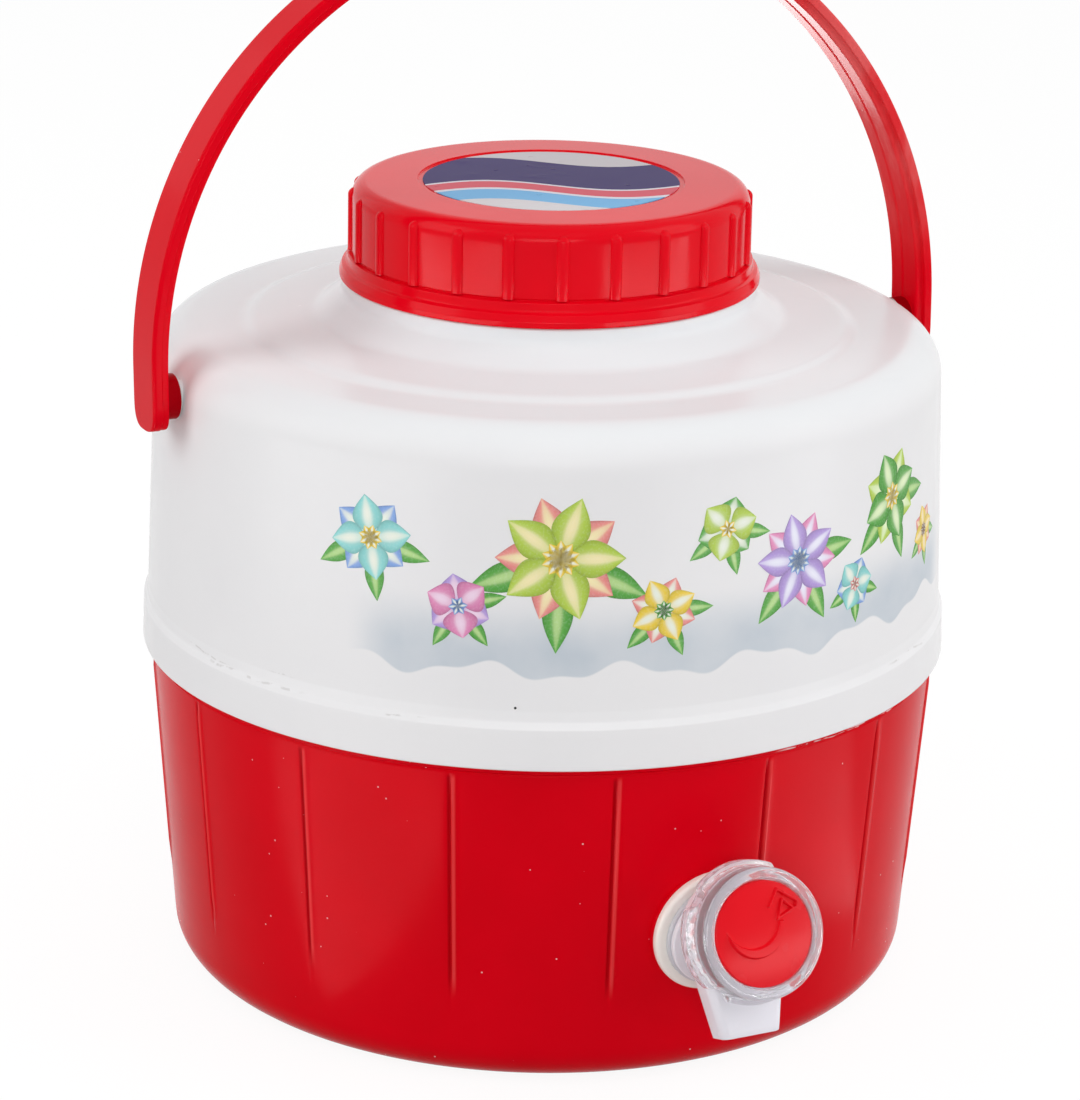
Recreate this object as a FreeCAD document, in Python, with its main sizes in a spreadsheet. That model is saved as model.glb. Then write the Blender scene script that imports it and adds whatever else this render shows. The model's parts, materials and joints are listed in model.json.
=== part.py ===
import FreeCAD, Part
import os
import re
import Sketcher

Vector = FreeCAD.Vector
X_AXIS = Vector(1, 0, 0)

# An insulated water jug, in millimetres.
# The origin is on the jug's axis at the surface it stands on, with +Z up.
# The tap faces -Y and the handle turns on pivots at +X and -X.
doc = FreeCAD.newDocument("insulated_water_jug")
sheet = doc.addObject("Spreadsheet::Sheet", "Sizes")

DRIVING_SIZES = {
    # Red lower body
    "seam_radius": 122.4,
    "body_draft": 7.1,
    "seam_height": 103.3,
    "body_wall": 2.4,
    "base_round": 21.0,
    "foot_ring_inset": 24.3,
    "foot_recess": 4.0,
    "foot_slope": 3.0,
    "rim_lip_height": 2.0,
    "rim_lip_depth": 0.5,
    "rim_lip_gap": 0.2,
    "tongue_height": 10.7,
    "fill_hole_radius": 11.0,
    "fill_plug_lip": 3.0,
    "fill_plug_cap": 1.8,
    "fill_plug_reach": 1.2,
    "foam_floor_gap": 2.0,
    # White upper shell
    "band_overhang": 2.6,
    "band_height": 14.7,
    "band_step": 1.25,
    "band_step_height": 1.8,
    "band_proud": 1.7,
    "shell_draft": 3.3,
    "shell_wall": 2.3,
    "shoulder_height": 202.7,
    "shoulder_round": 17.5,
    "plateau_inset": 30.0,
    "plateau_step": 1.5,
    "plateau_rise": 1.6,
    "cove_width": 8.5,
    "cove_height": 6.0,
    "collar_width": 5.9,
    "collar_rise": 13.6,
    "collar_lip": 2.4,
    "neck_hole_gap": 0.7,
    # Inner vessel with its neck
    "foam_below": 14.1,
    "foam_beside": 9.4,
    "foam_beside_top": 9.8,
    "foam_above": 7.4,
    "liner_shoulder_rise": 4.0,
    "liner_wall": 2.2,
    "liner_base_round": 14.0,
    "liner_shoulder_round": 18.0,
    "neck_radius": 57.3,
    "neck_wall": 2.7,
    "neck_reach": 19.7,
    "neck_bead_height": 3.0,
    "neck_bead_slope": 1.0,
    # Lid
    "lid_flange_overhang": 0.9,
    "lid_flange_height": 5.0,
    "lid_flange_flare": 1.3,
    "lid_band_proud": 0.9,
    "lid_band_height": 3.8,
    "lid_groove_height": 0.6,
    "lid_groove_depth": 0.4,
    "lid_thread_gap": 1.7,
    "lid_rise": 10.2,
    "lid_top_fall": 0.4,
    "lid_edge_round": 5.0,
    "lid_inner_bevel": 2.0,
    "lid_wall": 1.8,
    "lid_rib_count": 24,
    "lid_rib_width": 3.8,
    "lid_rib_top_gap": 1.9,
    "lid_rib_root": 0.6,
    "label_recess_inset": 20.4,
    "label_margin": 1.5,
    "label_recess": 0.6,
    "label_thickness": 0.3,
    "lid_top_wall": 2.4,
    "plug_gap": 1.8,
    "plug_wall": 2.2,
    "plug_depth": 31.0,
    "plug_flange_thickness": 2.0,
    "plug_bottom_bevel": 2.0,
    "plug_lip": 1.2,
    "rim_gasket_thickness": 2.2,
    "plug_seal_depth": 10.0,
    "plug_seal_thickness": 2.4,
    # Handle
    "handle_leg": 8.2,
    "handle_width": 18.6,
    "handle_thickness": 5.4,
    "handle_outer_thickness": 3.0,
    "handle_edge_bevel": 1.1,
    "handle_inner_step": 1.3,
    "handle_rest_lean": 2.3,
    "pivot_drop": 11.9,
    "pivot_pad_margin": 1.1,
    "pivot_pad_proud": 1.2,
    "pivot_pad_root": 2.6,
    "pivot_washer_thickness": 0.8,
    "pivot_boss_margin": 1.8,
    "pivot_boss_length": 3.5,
    "stud_radius": 4.0,
    "stud_head_ledge": 1.5,
    "stud_head_thickness": 2.0,
    "stud_grip": 3.1,
    "stud_hole_depth": 4.0,
    # Tap, measured from the point where its axes meet the red wall
    "tap_height": 48.6,
    "tap_tilt": 19.4,
    "tap_pad_margin": 0.6,
    "tap_pad_proud": 0.3,
    "gasket_margin": 3.6,
    "gasket_thickness": 3.0,
    "collar_ring_width": 4.8,
    "collar_ring_thickness": 1.6,
    "shank_radius": 11.0,
    "shank_wall": 3.5,
    "liner_pad_width": 7.0,
    "liner_pad_proud": 1.0,
    "liner_pad_margin": 0.5,
    "sleeve_wall": 3.0,
    "washer_width": 5.5,
    "washer_thickness": 2.0,
    "nut_width": 6.0,
    "nut_thickness": 8.0,
    "shank_tail": 1.6,
    "tap_flange_width": 4.0,
    "tap_flange_thickness": 1.8,
    "barrel_ledge": 2.0,
    "hub_wall": 7.2,
    "hub_length": 8.0,
    "hub_front": 21.0,
    "hub_front_wall": 1.2,
    "hub_bevel": 1.0,
    "rotor_bore_radius": 8.5,
    "inlet_reach": 9.0,
    "spout_length": 30.3,
    "spout_tip_width": 20.4,
    "spout_front_inset": 0.5,
    "spout_thickness": 9.7,
    "spout_wall": 1.6,
    "spout_side_wall": 2.2,
    "spout_root_inset": 0.5,
    # Valve rotor and knob
    "rotor_length": 9.7,
    "rotor_end_gap": 0.1,
    "rotor_wall": 2.3,
    "rotor_port_radius": 2.5,
    "stem_radius": 5.0,
    "stem_flat_depth": 1.1,
    "seal_cord": 1.5,
    "seal_inset": 0.6,
    "knob_gap": 1.3,
    "knob_grip_radius": 21.3,
    "knob_grip_length": 6.2,
    "knob_tier_step": 2.2,
    "knob_rim_wall": 3.5,
    "knob_rim_proud": 0.75,
    "knob_web": 2.0,
    "knob_web_back": 7.0,
    "knob_boss_back": 0.4,
    "knob_grip_wall": 3.4,
    "knob_tier_bevel": 1.0,
    "knob_boss_wall": 2.6,
    "knob_lobe_count": 4,
    "knob_notch_radius": 5.0,
    "knob_notch_depth": 2.0,
    "knob_edge_round": 1.4,
    "disc_edge": 3.6,
    "disc_crown": 1.5,
    "disc_cup_margin": 1.0,
    "screw_radius": 1.6,
    "screw_head_ledge": 1.8,
    "screw_head_thickness": 2.0,
    "screw_length": 9.0,
    # Bare room that cutting outlines run past the solid they cut
    "cut_margin": 5.0,
    # Clearances
    "curve_gap": 0.3,
    "fit_gap": 0.05,
}

# Sizes that the driving ones give, so that each piece follows what it fits to
FITTED_SIZES = {
    "base_radius": "seam_radius - body_draft",
    "foot_ring_radius": "base_radius - foot_ring_inset",
    "band_radius": "seam_radius + band_overhang",
    "shell_low_radius": "band_radius - band_proud",
    "shell_top_radius": "shell_low_radius - shell_draft",
    "plateau_radius": "shell_top_radius - plateau_inset",
    "collar_radius": "neck_radius + collar_width",
    "collar_top": "shoulder_height + collar_rise",
    "liner_floor": "foot_recess + body_wall + foam_below",
    "liner_base_radius": "base_radius - body_wall - foam_beside",
    "liner_top_radius": "shell_top_radius - shell_wall - foam_beside_top",
    "liner_shoulder": "shoulder_height - shell_wall - foam_above",
    "neck_top": "collar_top + neck_reach",
    "lid_flange_radius": "collar_radius + lid_flange_overhang",
    "lid_skirt_radius": "neck_radius + lid_thread_gap + lid_wall",
    "lid_band_radius": "lid_skirt_radius + lid_band_proud",
    "lid_top": "neck_top + lid_rise",
    "label_recess_radius": "lid_skirt_radius - label_recess_inset",
    "label_radius": "label_recess_radius - label_margin",
    "plug_radius": "neck_radius - neck_wall - plug_gap",
    "plug_bottom": "neck_top - plug_depth",
    "plug_seal_height": "neck_top - plug_seal_depth",
    "stud_head_radius": "stud_radius + stud_head_ledge",
    "pivot_pad_radius": "stud_head_radius + pivot_pad_margin",
    "pivot_boss_radius": "pivot_pad_radius + pivot_boss_margin",
    "pivot_pad_thickness": "pivot_pad_root + 1.2 * stud_head_radius",
    "pivot_height": "shoulder_height - pivot_drop",
    "pivot_pad_face": "shell_top_radius + pivot_pad_proud",
    "stud_reach": "pivot_washer_thickness + pivot_boss_length + stud_grip",
    "handle_radius": "pivot_pad_face + pivot_washer_thickness + pivot_boss_length + handle_thickness",
    "handle_arch_height": "pivot_height + handle_leg",
    "collar_ring_radius": "shank_radius + collar_ring_width",
    "gasket_radius": "collar_ring_radius + gasket_margin",
    "tap_pad_radius": "gasket_radius + tap_pad_margin",
    "shank_bore_radius": "shank_radius - shank_wall",
    "liner_pad_radius": "shank_radius + liner_pad_width",
    "sleeve_radius": "shank_radius + sleeve_wall",
    "washer_radius": "shank_radius + washer_width",
    "nut_radius": "shank_radius + nut_width",
    "liner_pad_depth": "liner_pad_proud + liner_wall + washer_radius ^ 2 / (2 * liner_base_radius) "
                       "+ liner_pad_margin",
    "tap_flange_radius": "shank_radius + tap_flange_width",
    "barrel_radius": "shank_radius + barrel_ledge",
    "hub_radius": "rotor_bore_radius + hub_wall",
    "hub_back": "hub_front - hub_length",
    "rotor_bore_back": "hub_front - hub_front_wall - 2 * rotor_end_gap - rotor_length",
    "spout_back": "hub_front - spout_front_inset - spout_thickness",
    "knob_back": "hub_front + knob_gap",
    "stem_flat": "stem_radius - stem_flat_depth",
    "stem_length": "knob_back + knob_web_back - hub_front + hub_front_wall + rotor_end_gap",
    "knob_front_radius": "knob_grip_radius - knob_tier_step",
    "disc_radius": "knob_front_radius - knob_rim_wall - curve_gap",
    "knob_length": "knob_web_back + knob_web + fit_gap + disc_edge + knob_rim_proud",
    "knob_boss_radius": "stem_radius + knob_boss_wall",
    "screw_head_radius": "screw_radius + screw_head_ledge",
}

SHEET_CELLS = {alias: str(value) for alias, value in DRIVING_SIZES.items()}
SHEET_CELLS.update({alias: f"={text}" for alias, text in FITTED_SIZES.items()})
for row, (alias, content) in enumerate(SHEET_CELLS.items(), start=1):
    sheet.set(f"A{row}", alias)
    sheet.setAlias(f"B{row}", alias)
for row, content in enumerate(SHEET_CELLS.values(), start=1):
    sheet.set(f"B{row}", content)
doc.recompute()

# Places and short forms that follow from the sheet's sizes
WALL_SLOPE = "((seam_radius - base_radius) / seam_height)"
TAP_DROOP = f"atan({WALL_SLOPE})"
TAP_RADIUS = f"(base_radius + tap_height * {WALL_SLOPE})"
TONGUE_RADIUS = "(seam_radius - fit_gap)"
TONGUE_TOP = "(seam_height + tongue_height)"
BODY_FLOOR = "(foot_recess + body_wall)"
BAND_TOP = "(seam_height + band_height)"
SHELL_INNER_TOP = "(shoulder_height - shell_wall)"
PLATEAU = "(shoulder_height + plateau_step)"
COVE_RADIUS = "(collar_radius + cove_width)"
NECK_HOLE = "(neck_radius + neck_hole_gap)"
COLLAR_INNER = "(collar_radius - shell_wall)"
COLLAR_SEAT = "(collar_top - collar_lip)"
BEAD_RADIUS = f"({COLLAR_INNER} - curve_gap)"
NECK_BORE = "(neck_radius - neck_wall)"
LID_BOTTOM = "(collar_top + curve_gap)"
LID_FLANGE_TOP = f"({LID_BOTTOM} + lid_flange_height)"
LID_BAND_TOP = f"({LID_FLANGE_TOP} + lid_band_height + lid_groove_height)"
LID_EDGE = "(lid_top - lid_top_fall)"
LABEL_FLOOR = "(lid_top - label_recess)"
LID_CEILING = f"({LABEL_FLOOR} - lid_top_wall)"
LID_BORE = "(lid_skirt_radius - lid_wall)"
GASKET_TOP = "(neck_top + rim_gasket_thickness)"
HANDLE_INNER = "(handle_radius - handle_thickness)"
WASHER_FACE = "(pivot_pad_face + pivot_washer_thickness)"
LINER_SLOPE = "((liner_top_radius - liner_base_radius) / (liner_shoulder - liner_floor))"
LINER_UP = (LINER_SLOPE, "1")
LINER_DOWN = (f"-1 * {LINER_SLOPE}", "-1")
LINER_ROOF = ("-1", "(liner_shoulder_rise / (liner_top_radius - neck_radius))")
LINER_TAP_DEPTH = f"({TAP_RADIUS} - liner_base_radius - (tap_height - liner_floor) * {LINER_SLOPE})"
PAD_INNER = f"(body_wall + tap_pad_radius ^ 2 / (2 * {TAP_RADIUS}) + curve_gap)"
LINER_PAD_OUTER = f"({LINER_TAP_DEPTH} - liner_pad_proud)"
LINER_PAD_INNER = f"({LINER_PAD_OUTER} + liner_pad_depth)"
NUT_SEAT = f"({LINER_PAD_INNER} + washer_thickness)"
SHANK_END = f"({NUT_SEAT} + nut_thickness + shank_tail)"
COLLAR_RING_SEAT = "(tap_pad_proud + gasket_thickness)"
TAP_SEAT = f"({COLLAR_RING_SEAT} + collar_ring_thickness)"
ROTOR_FRONT = "(hub_front - hub_front_wall - rotor_end_gap)"
ROTOR_BACK = f"({ROTOR_FRONT} - rotor_length)"
ROTOR_RADIUS = "(rotor_bore_radius - fit_gap)"
KNOB_FRONT = "(knob_back + knob_length)"
WEB_BACK = "(knob_back + knob_web_back)"
WEB_FRONT = f"({WEB_BACK} + knob_web)"


def bound(text):
    """Return the text as an expression in which each size name points at its cell."""
    return re.sub(r"[a-z]+_[a-z_]+[a-z]", lambda word: "Sizes." + word.group(0)
                  if word.group(0) in SHEET_CELLS else word.group(0), str(text))


def value_of(text):
    """Return the present value of an expression of size names."""
    result = sheet.evalExpression(bound(text))
    return float(getattr(result, "Value", result))


def make_body(label):
    """Return a new body with its label."""
    body = doc.addObject("PartDesign::Body", label)
    body.Label = label
    return body


def plane_of(body, role):
    """Return one of the body's own origin planes."""
    return next(item for item in body.Origin.OriginFeatures if item.Role == role)


def make_sketch(body, name, role, lift="0", across="0", up="0", turn=None):
    """Return a sketch on an origin plane, moved within and off the plane, and turned about its own X."""
    sketch = body.newObject("Sketcher::SketchObject", name)
    sketch.AttachmentSupport = [(plane_of(body, role), "")]
    sketch.MapMode = "FlatFace"
    angle = value_of(turn) if turn else 0.0
    place = Vector(value_of(across), value_of(up), value_of(lift))
    sketch.AttachmentOffset = FreeCAD.Placement(place, FreeCAD.Rotation(X_AXIS, angle))
    for axis, text in (("x", across), ("y", up), ("z", lift)):
        if text != "0":
            sketch.setExpression(f"AttachmentOffset.Base.{axis}", bound(text))
    if turn:
        sketch.setExpression("AttachmentOffset.Rotation.Angle", bound(turn))
    return sketch


def hold(sketch, kind, text, *ends):
    """Add one dimension and bind it to its expression."""
    index = sketch.addConstraint(Sketcher.Constraint(kind, *ends, value_of(text)))
    sketch.setExpression(f"Constraints[{index}]", bound(text))


def place_point(sketch, edge, end, across, up):
    """Hold one end of an edge at its distances from the sketch's own origin."""
    for kind, text, axis in (("DistanceX", across, -2), ("DistanceY", up, -1)):
        if abs(value_of(text)) < 1e-9:
            sketch.addConstraint(Sketcher.Constraint("PointOnObject", edge, end, axis))
        else:
            hold(sketch, kind, text, -1, 1, edge, end)


def add_outline(sketch, points):
    """Draw a closed outline of straight edges and hold every corner."""
    corners = [Vector(value_of(across), value_of(up), 0) for across, up in points]
    edges = []
    for index, corner in enumerate(corners):
        following = corners[(index + 1) % len(corners)]
        edges.append(sketch.addGeometry(Part.LineSegment(corner, following), False))
    for index, edge in enumerate(edges):
        following = edges[(index + 1) % len(edges)]
        sketch.addConstraint(Sketcher.Constraint("Coincident", edge, 2, following, 1))
    for edge, (across, up) in zip(edges, points):
        place_point(sketch, edge, 1, across, up)


def add_circle(sketch, radius, across="0", up="0"):
    """Draw a circle and hold its centre and radius."""
    centre = Vector(value_of(across), value_of(up), 0)
    circle = sketch.addGeometry(Part.Circle(centre, Vector(0, 0, 1), value_of(radius)), False)
    place_point(sketch, circle, 3, across, up)
    hold(sketch, "Radius", radius, circle)


def revolve(body, name, points):
    """Turn an outline of (radius, height) points a full turn about the body's Z axis."""
    sketch = make_sketch(body, name + "_outline", "XZ_Plane")
    add_outline(sketch, points)
    feature = body.newObject("PartDesign::Revolution", name)
    feature.Profile = sketch
    feature.ReferenceAxis = (sketch, ["V_Axis"])
    feature.Angle = 360
    doc.recompute()
    return feature


def pad(body, name, sketch, length, inward=False):
    """Extrude a sketch along its normal, or against it."""
    feature = body.newObject("PartDesign::Pad", name)
    feature.Profile = sketch
    feature.setExpression("Length", bound(length))
    feature.Reversed = inward
    doc.recompute()
    return feature


def pocket(body, name, sketch, length, forward=False):
    """Cut a sketch against its normal, or along it."""
    before = body.Shape.Volume
    feature = body.newObject("PartDesign::Pocket", name)
    feature.Profile = sketch
    feature.setExpression("Length", bound(length))
    feature.Reversed = forward
    doc.recompute()
    if body.Shape.Volume > before - 0.01:
        raise RuntimeError(f"{name} cuts nothing")
    return feature


def ring_edges(feature, *rings):
    """Return the names of the circular edges about Z with the given (radius, height) pairs."""
    wanted = [(value_of(radius), value_of(height)) for radius, height in rings]
    names = []
    for index, edge in enumerate(feature.Shape.Edges, start=1):
        curve = edge.Curve
        if not isinstance(curve, Part.Circle):
            continue
        for radius, height in wanted:
            if abs(curve.Radius - radius) < 0.01 and abs(curve.Center.z - height) < 0.01:
                names.append(f"Edge{index}")
    if len(names) < len(wanted):
        raise RuntimeError(f"{feature.Name} has no such edge")
    return names


def bevelled(corner, size, before, after):
    """Return three outline points that replace a corner by two bevels, which follow a rounding of that size.

    The directions are (radius, height) pairs that lead back along the edge before the corner and on along
    the edge after it. The middle point lies on the rounding that touches both edges.
    """
    radius, height = corner
    inset = f"({size}) * (1 - sqrt(0.5))"
    points = [(f"{radius} + ({size}) * ({before[0]})", f"{height} + ({size}) * ({before[1]})")]
    points.append((f"{radius} + {inset} * ({before[0]} + {after[0]})",
                   f"{height} + {inset} * ({before[1]} + {after[1]})"))
    points.append((f"{radius} + ({size}) * ({after[0]})", f"{height} + ({size}) * ({after[1]})"))
    return points


def soften(body, name, feature, radius, *rings):
    """Round the circular edges of the given (radius, height) pairs."""
    fillet = body.newObject("PartDesign::Fillet", name)
    fillet.Base = (feature, ring_edges(feature, *rings))
    fillet.setExpression("Radius", bound(radius))
    doc.recompute()
    return fillet


def around(body, name, features, count):
    """Repeat features at equal steps about the body's Z axis."""
    pattern = body.newObject("PartDesign::PolarPattern", name)
    pattern.Originals = features
    axis = next(item for item in body.Origin.OriginFeatures if item.Role == "Z_Axis")
    pattern.Axis = (axis, [""])
    pattern.Angle = 360
    pattern.setExpression("Occurrences", bound(count))
    body.Tip = pattern
    doc.recompute()
    return pattern


def mirror(body, name, features):
    """Repeat features on the other side of the YZ plane."""
    feature = body.newObject("PartDesign::Mirrored", name)
    feature.Originals = features
    feature.MirrorPlane = (plane_of(body, "YZ_Plane"), [""])
    body.Tip = feature
    doc.recompute()
    return feature


def shank_sketch(body, name, depth):
    """Return a sketch square to the tap's shank, at a depth inside the wall point."""
    return make_sketch(body, name, "XZ_Plane", turn=TAP_DROOP,
                       lift=f"{TAP_RADIUS} - ({depth}) * cos({TAP_DROOP})",
                       up=f"tap_height + ({depth}) * sin({TAP_DROOP})")


def set_on_tap(body, angle):
    """Put a body's Z axis on a tap axis that points outwards, at an angle from straight up."""
    body.Placement = FreeCAD.Placement(Vector(0, -1, 1), FreeCAD.Rotation(X_AXIS, value_of(angle)))
    body.setExpression("Placement.Base.y", bound(f"-1 * {TAP_RADIUS}"))
    body.setExpression("Placement.Base.z", bound("tap_height"))
    body.setExpression("Placement.Rotation.Angle", bound(angle))


SHANK_ANGLE = f"90 + {TAP_DROOP} / (1 deg)"
VALVE_ANGLE = "90 - tap_tilt"
ELBOW_ANGLE = f"tap_tilt + {TAP_DROOP} / (1 deg)"


def ring(label, inner, outer, low, high, angle=None):
    """Return a plain ring about its own axis, set on a tap axis when an angle is given."""
    body = make_body(label)
    revolve(body, label + "_ring", [(inner, low), (outer, low), (outer, high), (inner, high)])
    if angle:
        set_on_tap(body, angle)
    return body


def make_outer_body():
    """Red cup: tapered wall, rounded base with a recessed floor, and a tongue for the upper shell."""
    body = make_body("outer_body")
    lip_low = "(seam_height - rim_lip_height)"
    lip_base = f"(base_radius + {lip_low} * {WALL_SLOPE})"
    inner_low = f"(base_radius - body_wall + {BODY_FLOOR} * {WALL_SLOPE})"
    inner_top = f"({TONGUE_RADIUS} - body_wall)"
    inner_slope = f"(({inner_top} - {inner_low}) / ({TONGUE_TOP} - {BODY_FLOOR}))"
    cup = revolve(body, "body_cup", [
        ("fill_hole_radius", "foot_recess"),
        ("foot_ring_radius - foot_slope", "foot_recess"),
        ("foot_ring_radius", "0"),
        ("base_radius", "0"),
        (lip_base, lip_low),
        ("seam_radius + rim_lip_depth", f"{lip_low} + rim_lip_depth"),
        ("seam_radius + rim_lip_depth", "seam_height - rim_lip_gap"),
        (TONGUE_RADIUS, "seam_height - rim_lip_gap"),
        (TONGUE_RADIUS, TONGUE_TOP),
        (inner_top, TONGUE_TOP),
        *bevelled((inner_low, BODY_FLOOR), "base_round - body_wall", (inner_slope, "1"), ("-1", "0")),
        ("fill_hole_radius", BODY_FLOOR),
    ])
    soften(body, "base_rounding", cup, "base_round", ("base_radius", "0"))
    seat = shank_sketch(body, "tap_pad_circle", PAD_INNER)
    add_circle(seat, "tap_pad_radius")
    pad(body, "tap_pad", seat, f"{PAD_INNER} + tap_pad_proud")
    hole = shank_sketch(body, "tap_hole_circle", f"{PAD_INNER} + cut_margin")
    add_circle(hole, "shank_radius + curve_gap")
    pocket(body, "tap_hole", hole, f"{PAD_INNER} + 2 * cut_margin", forward=True)
    return body


def make_top_shell():
    """White shell: band, wall, rounded shoulder, stepped plateau and neck collar, with pivot pads."""
    body = make_body("top_shell")
    inner_low = "(shell_low_radius - shell_wall)"
    inner_band = f"({TONGUE_RADIUS} + curve_gap)"
    step = "(plateau_radius + plateau_step)"
    inner_top = "(shell_top_radius - shell_wall)"
    inner_slope = f"(({inner_low} - {inner_top}) / ({SHELL_INNER_TOP} - {BAND_TOP}))"
    wall = revolve(body, "shell_wall_turned", [
        (inner_band, "seam_height"),
        ("band_radius", "seam_height"),
        ("shell_low_radius + band_step", f"{BAND_TOP} - band_step_height"),
        ("shell_low_radius", BAND_TOP),
        ("shell_top_radius", "shoulder_height"),
        (step, "shoulder_height"),
        ("plateau_radius", PLATEAU),
        (COVE_RADIUS, f"{PLATEAU} + plateau_rise"),
        ("collar_radius", f"{PLATEAU} + plateau_rise + cove_height"),
        ("collar_radius", "collar_top - shell_wall / 4"),
        ("collar_radius - shell_wall / 4", "collar_top"),
        (NECK_HOLE, "collar_top"),
        (NECK_HOLE, COLLAR_SEAT),
        (COLLAR_INNER, COLLAR_SEAT),
        (COLLAR_INNER, f"{PLATEAU} + plateau_rise - shell_wall / 2"),
        ("plateau_radius - shell_wall / 2", f"{PLATEAU} - shell_wall"),
        (f"{step} - shell_wall / 2", SHELL_INNER_TOP),
        *bevelled((inner_top, SHELL_INNER_TOP), "shoulder_round - shell_wall", ("-1", "0"),
                  (inner_slope, "-1")),
        (inner_low, BAND_TOP),
        (inner_low, TONGUE_TOP),
        (inner_band, TONGUE_TOP),
    ])
    soften(body, "shoulder_rounding", wall, "shoulder_round", ("shell_top_radius", "shoulder_height"))
    circle = make_sketch(body, "pivot_pad_circle", "YZ_Plane", lift="pivot_pad_face - pivot_pad_thickness")
    add_circle(circle, "pivot_pad_radius", up="pivot_height")
    seat = pad(body, "pivot_pad", circle, "pivot_pad_thickness")
    mirror(body, "pivot_pads", [seat])
    hole = make_sketch(body, "pivot_hole_circle", "YZ_Plane", lift="band_radius")
    add_circle(hole, "stud_radius + fit_gap", up="pivot_height")
    pocket(body, "pivot_holes", hole, "2 * band_radius")
    return body


def make_inner_liner():
    """White vessel: drafted wall, domed shoulder, plain neck with a bead under the collar, tap pad."""
    body = make_body("inner_liner")
    neck_low = "(liner_shoulder + liner_shoulder_rise)"
    bead_low = f"({COLLAR_SEAT} - neck_bead_height)"
    base_inside = ("(liner_base_radius - liner_wall)", "(liner_floor + liner_wall)")
    shoulder_inside = ("(liner_top_radius - liner_wall)", "(liner_shoulder - liner_wall)")
    base_round_inside = "liner_base_round - liner_wall"
    shoulder_round_inside = "liner_shoulder_round - liner_wall"
    revolve(body, "vessel_turned", [
        ("0", "liner_floor"),
        *bevelled(("liner_base_radius", "liner_floor"), "liner_base_round", ("-1", "0"), LINER_UP),
        *bevelled(("liner_top_radius", "liner_shoulder"), "liner_shoulder_round", LINER_DOWN, LINER_ROOF),
        ("neck_radius", neck_low),
        ("neck_radius", bead_low),
        (BEAD_RADIUS, f"{bead_low} + neck_bead_slope"),
        (BEAD_RADIUS, COLLAR_SEAT),
        ("neck_radius", COLLAR_SEAT),
        ("neck_radius", "neck_top"),
        (NECK_BORE, "neck_top"),
        (NECK_BORE, f"{neck_low} - liner_wall"),
        *bevelled(shoulder_inside, shoulder_round_inside, LINER_ROOF, LINER_DOWN),
        *bevelled(base_inside, base_round_inside, LINER_UP, ("-1", "0")),
        ("0", "liner_floor + liner_wall"),
    ])
    seat = shank_sketch(body, "liner_pad_circle", LINER_PAD_INNER)
    add_circle(seat, "liner_pad_radius")
    pad(body, "liner_pad", seat, "liner_pad_depth")
    hole = shank_sketch(body, "liner_hole_circle", f"{LINER_PAD_INNER} + cut_margin")
    add_circle(hole, "shank_radius + curve_gap")
    pocket(body, "liner_hole", hole, "liner_pad_depth + 2 * cut_margin", forward=True)
    return body


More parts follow.
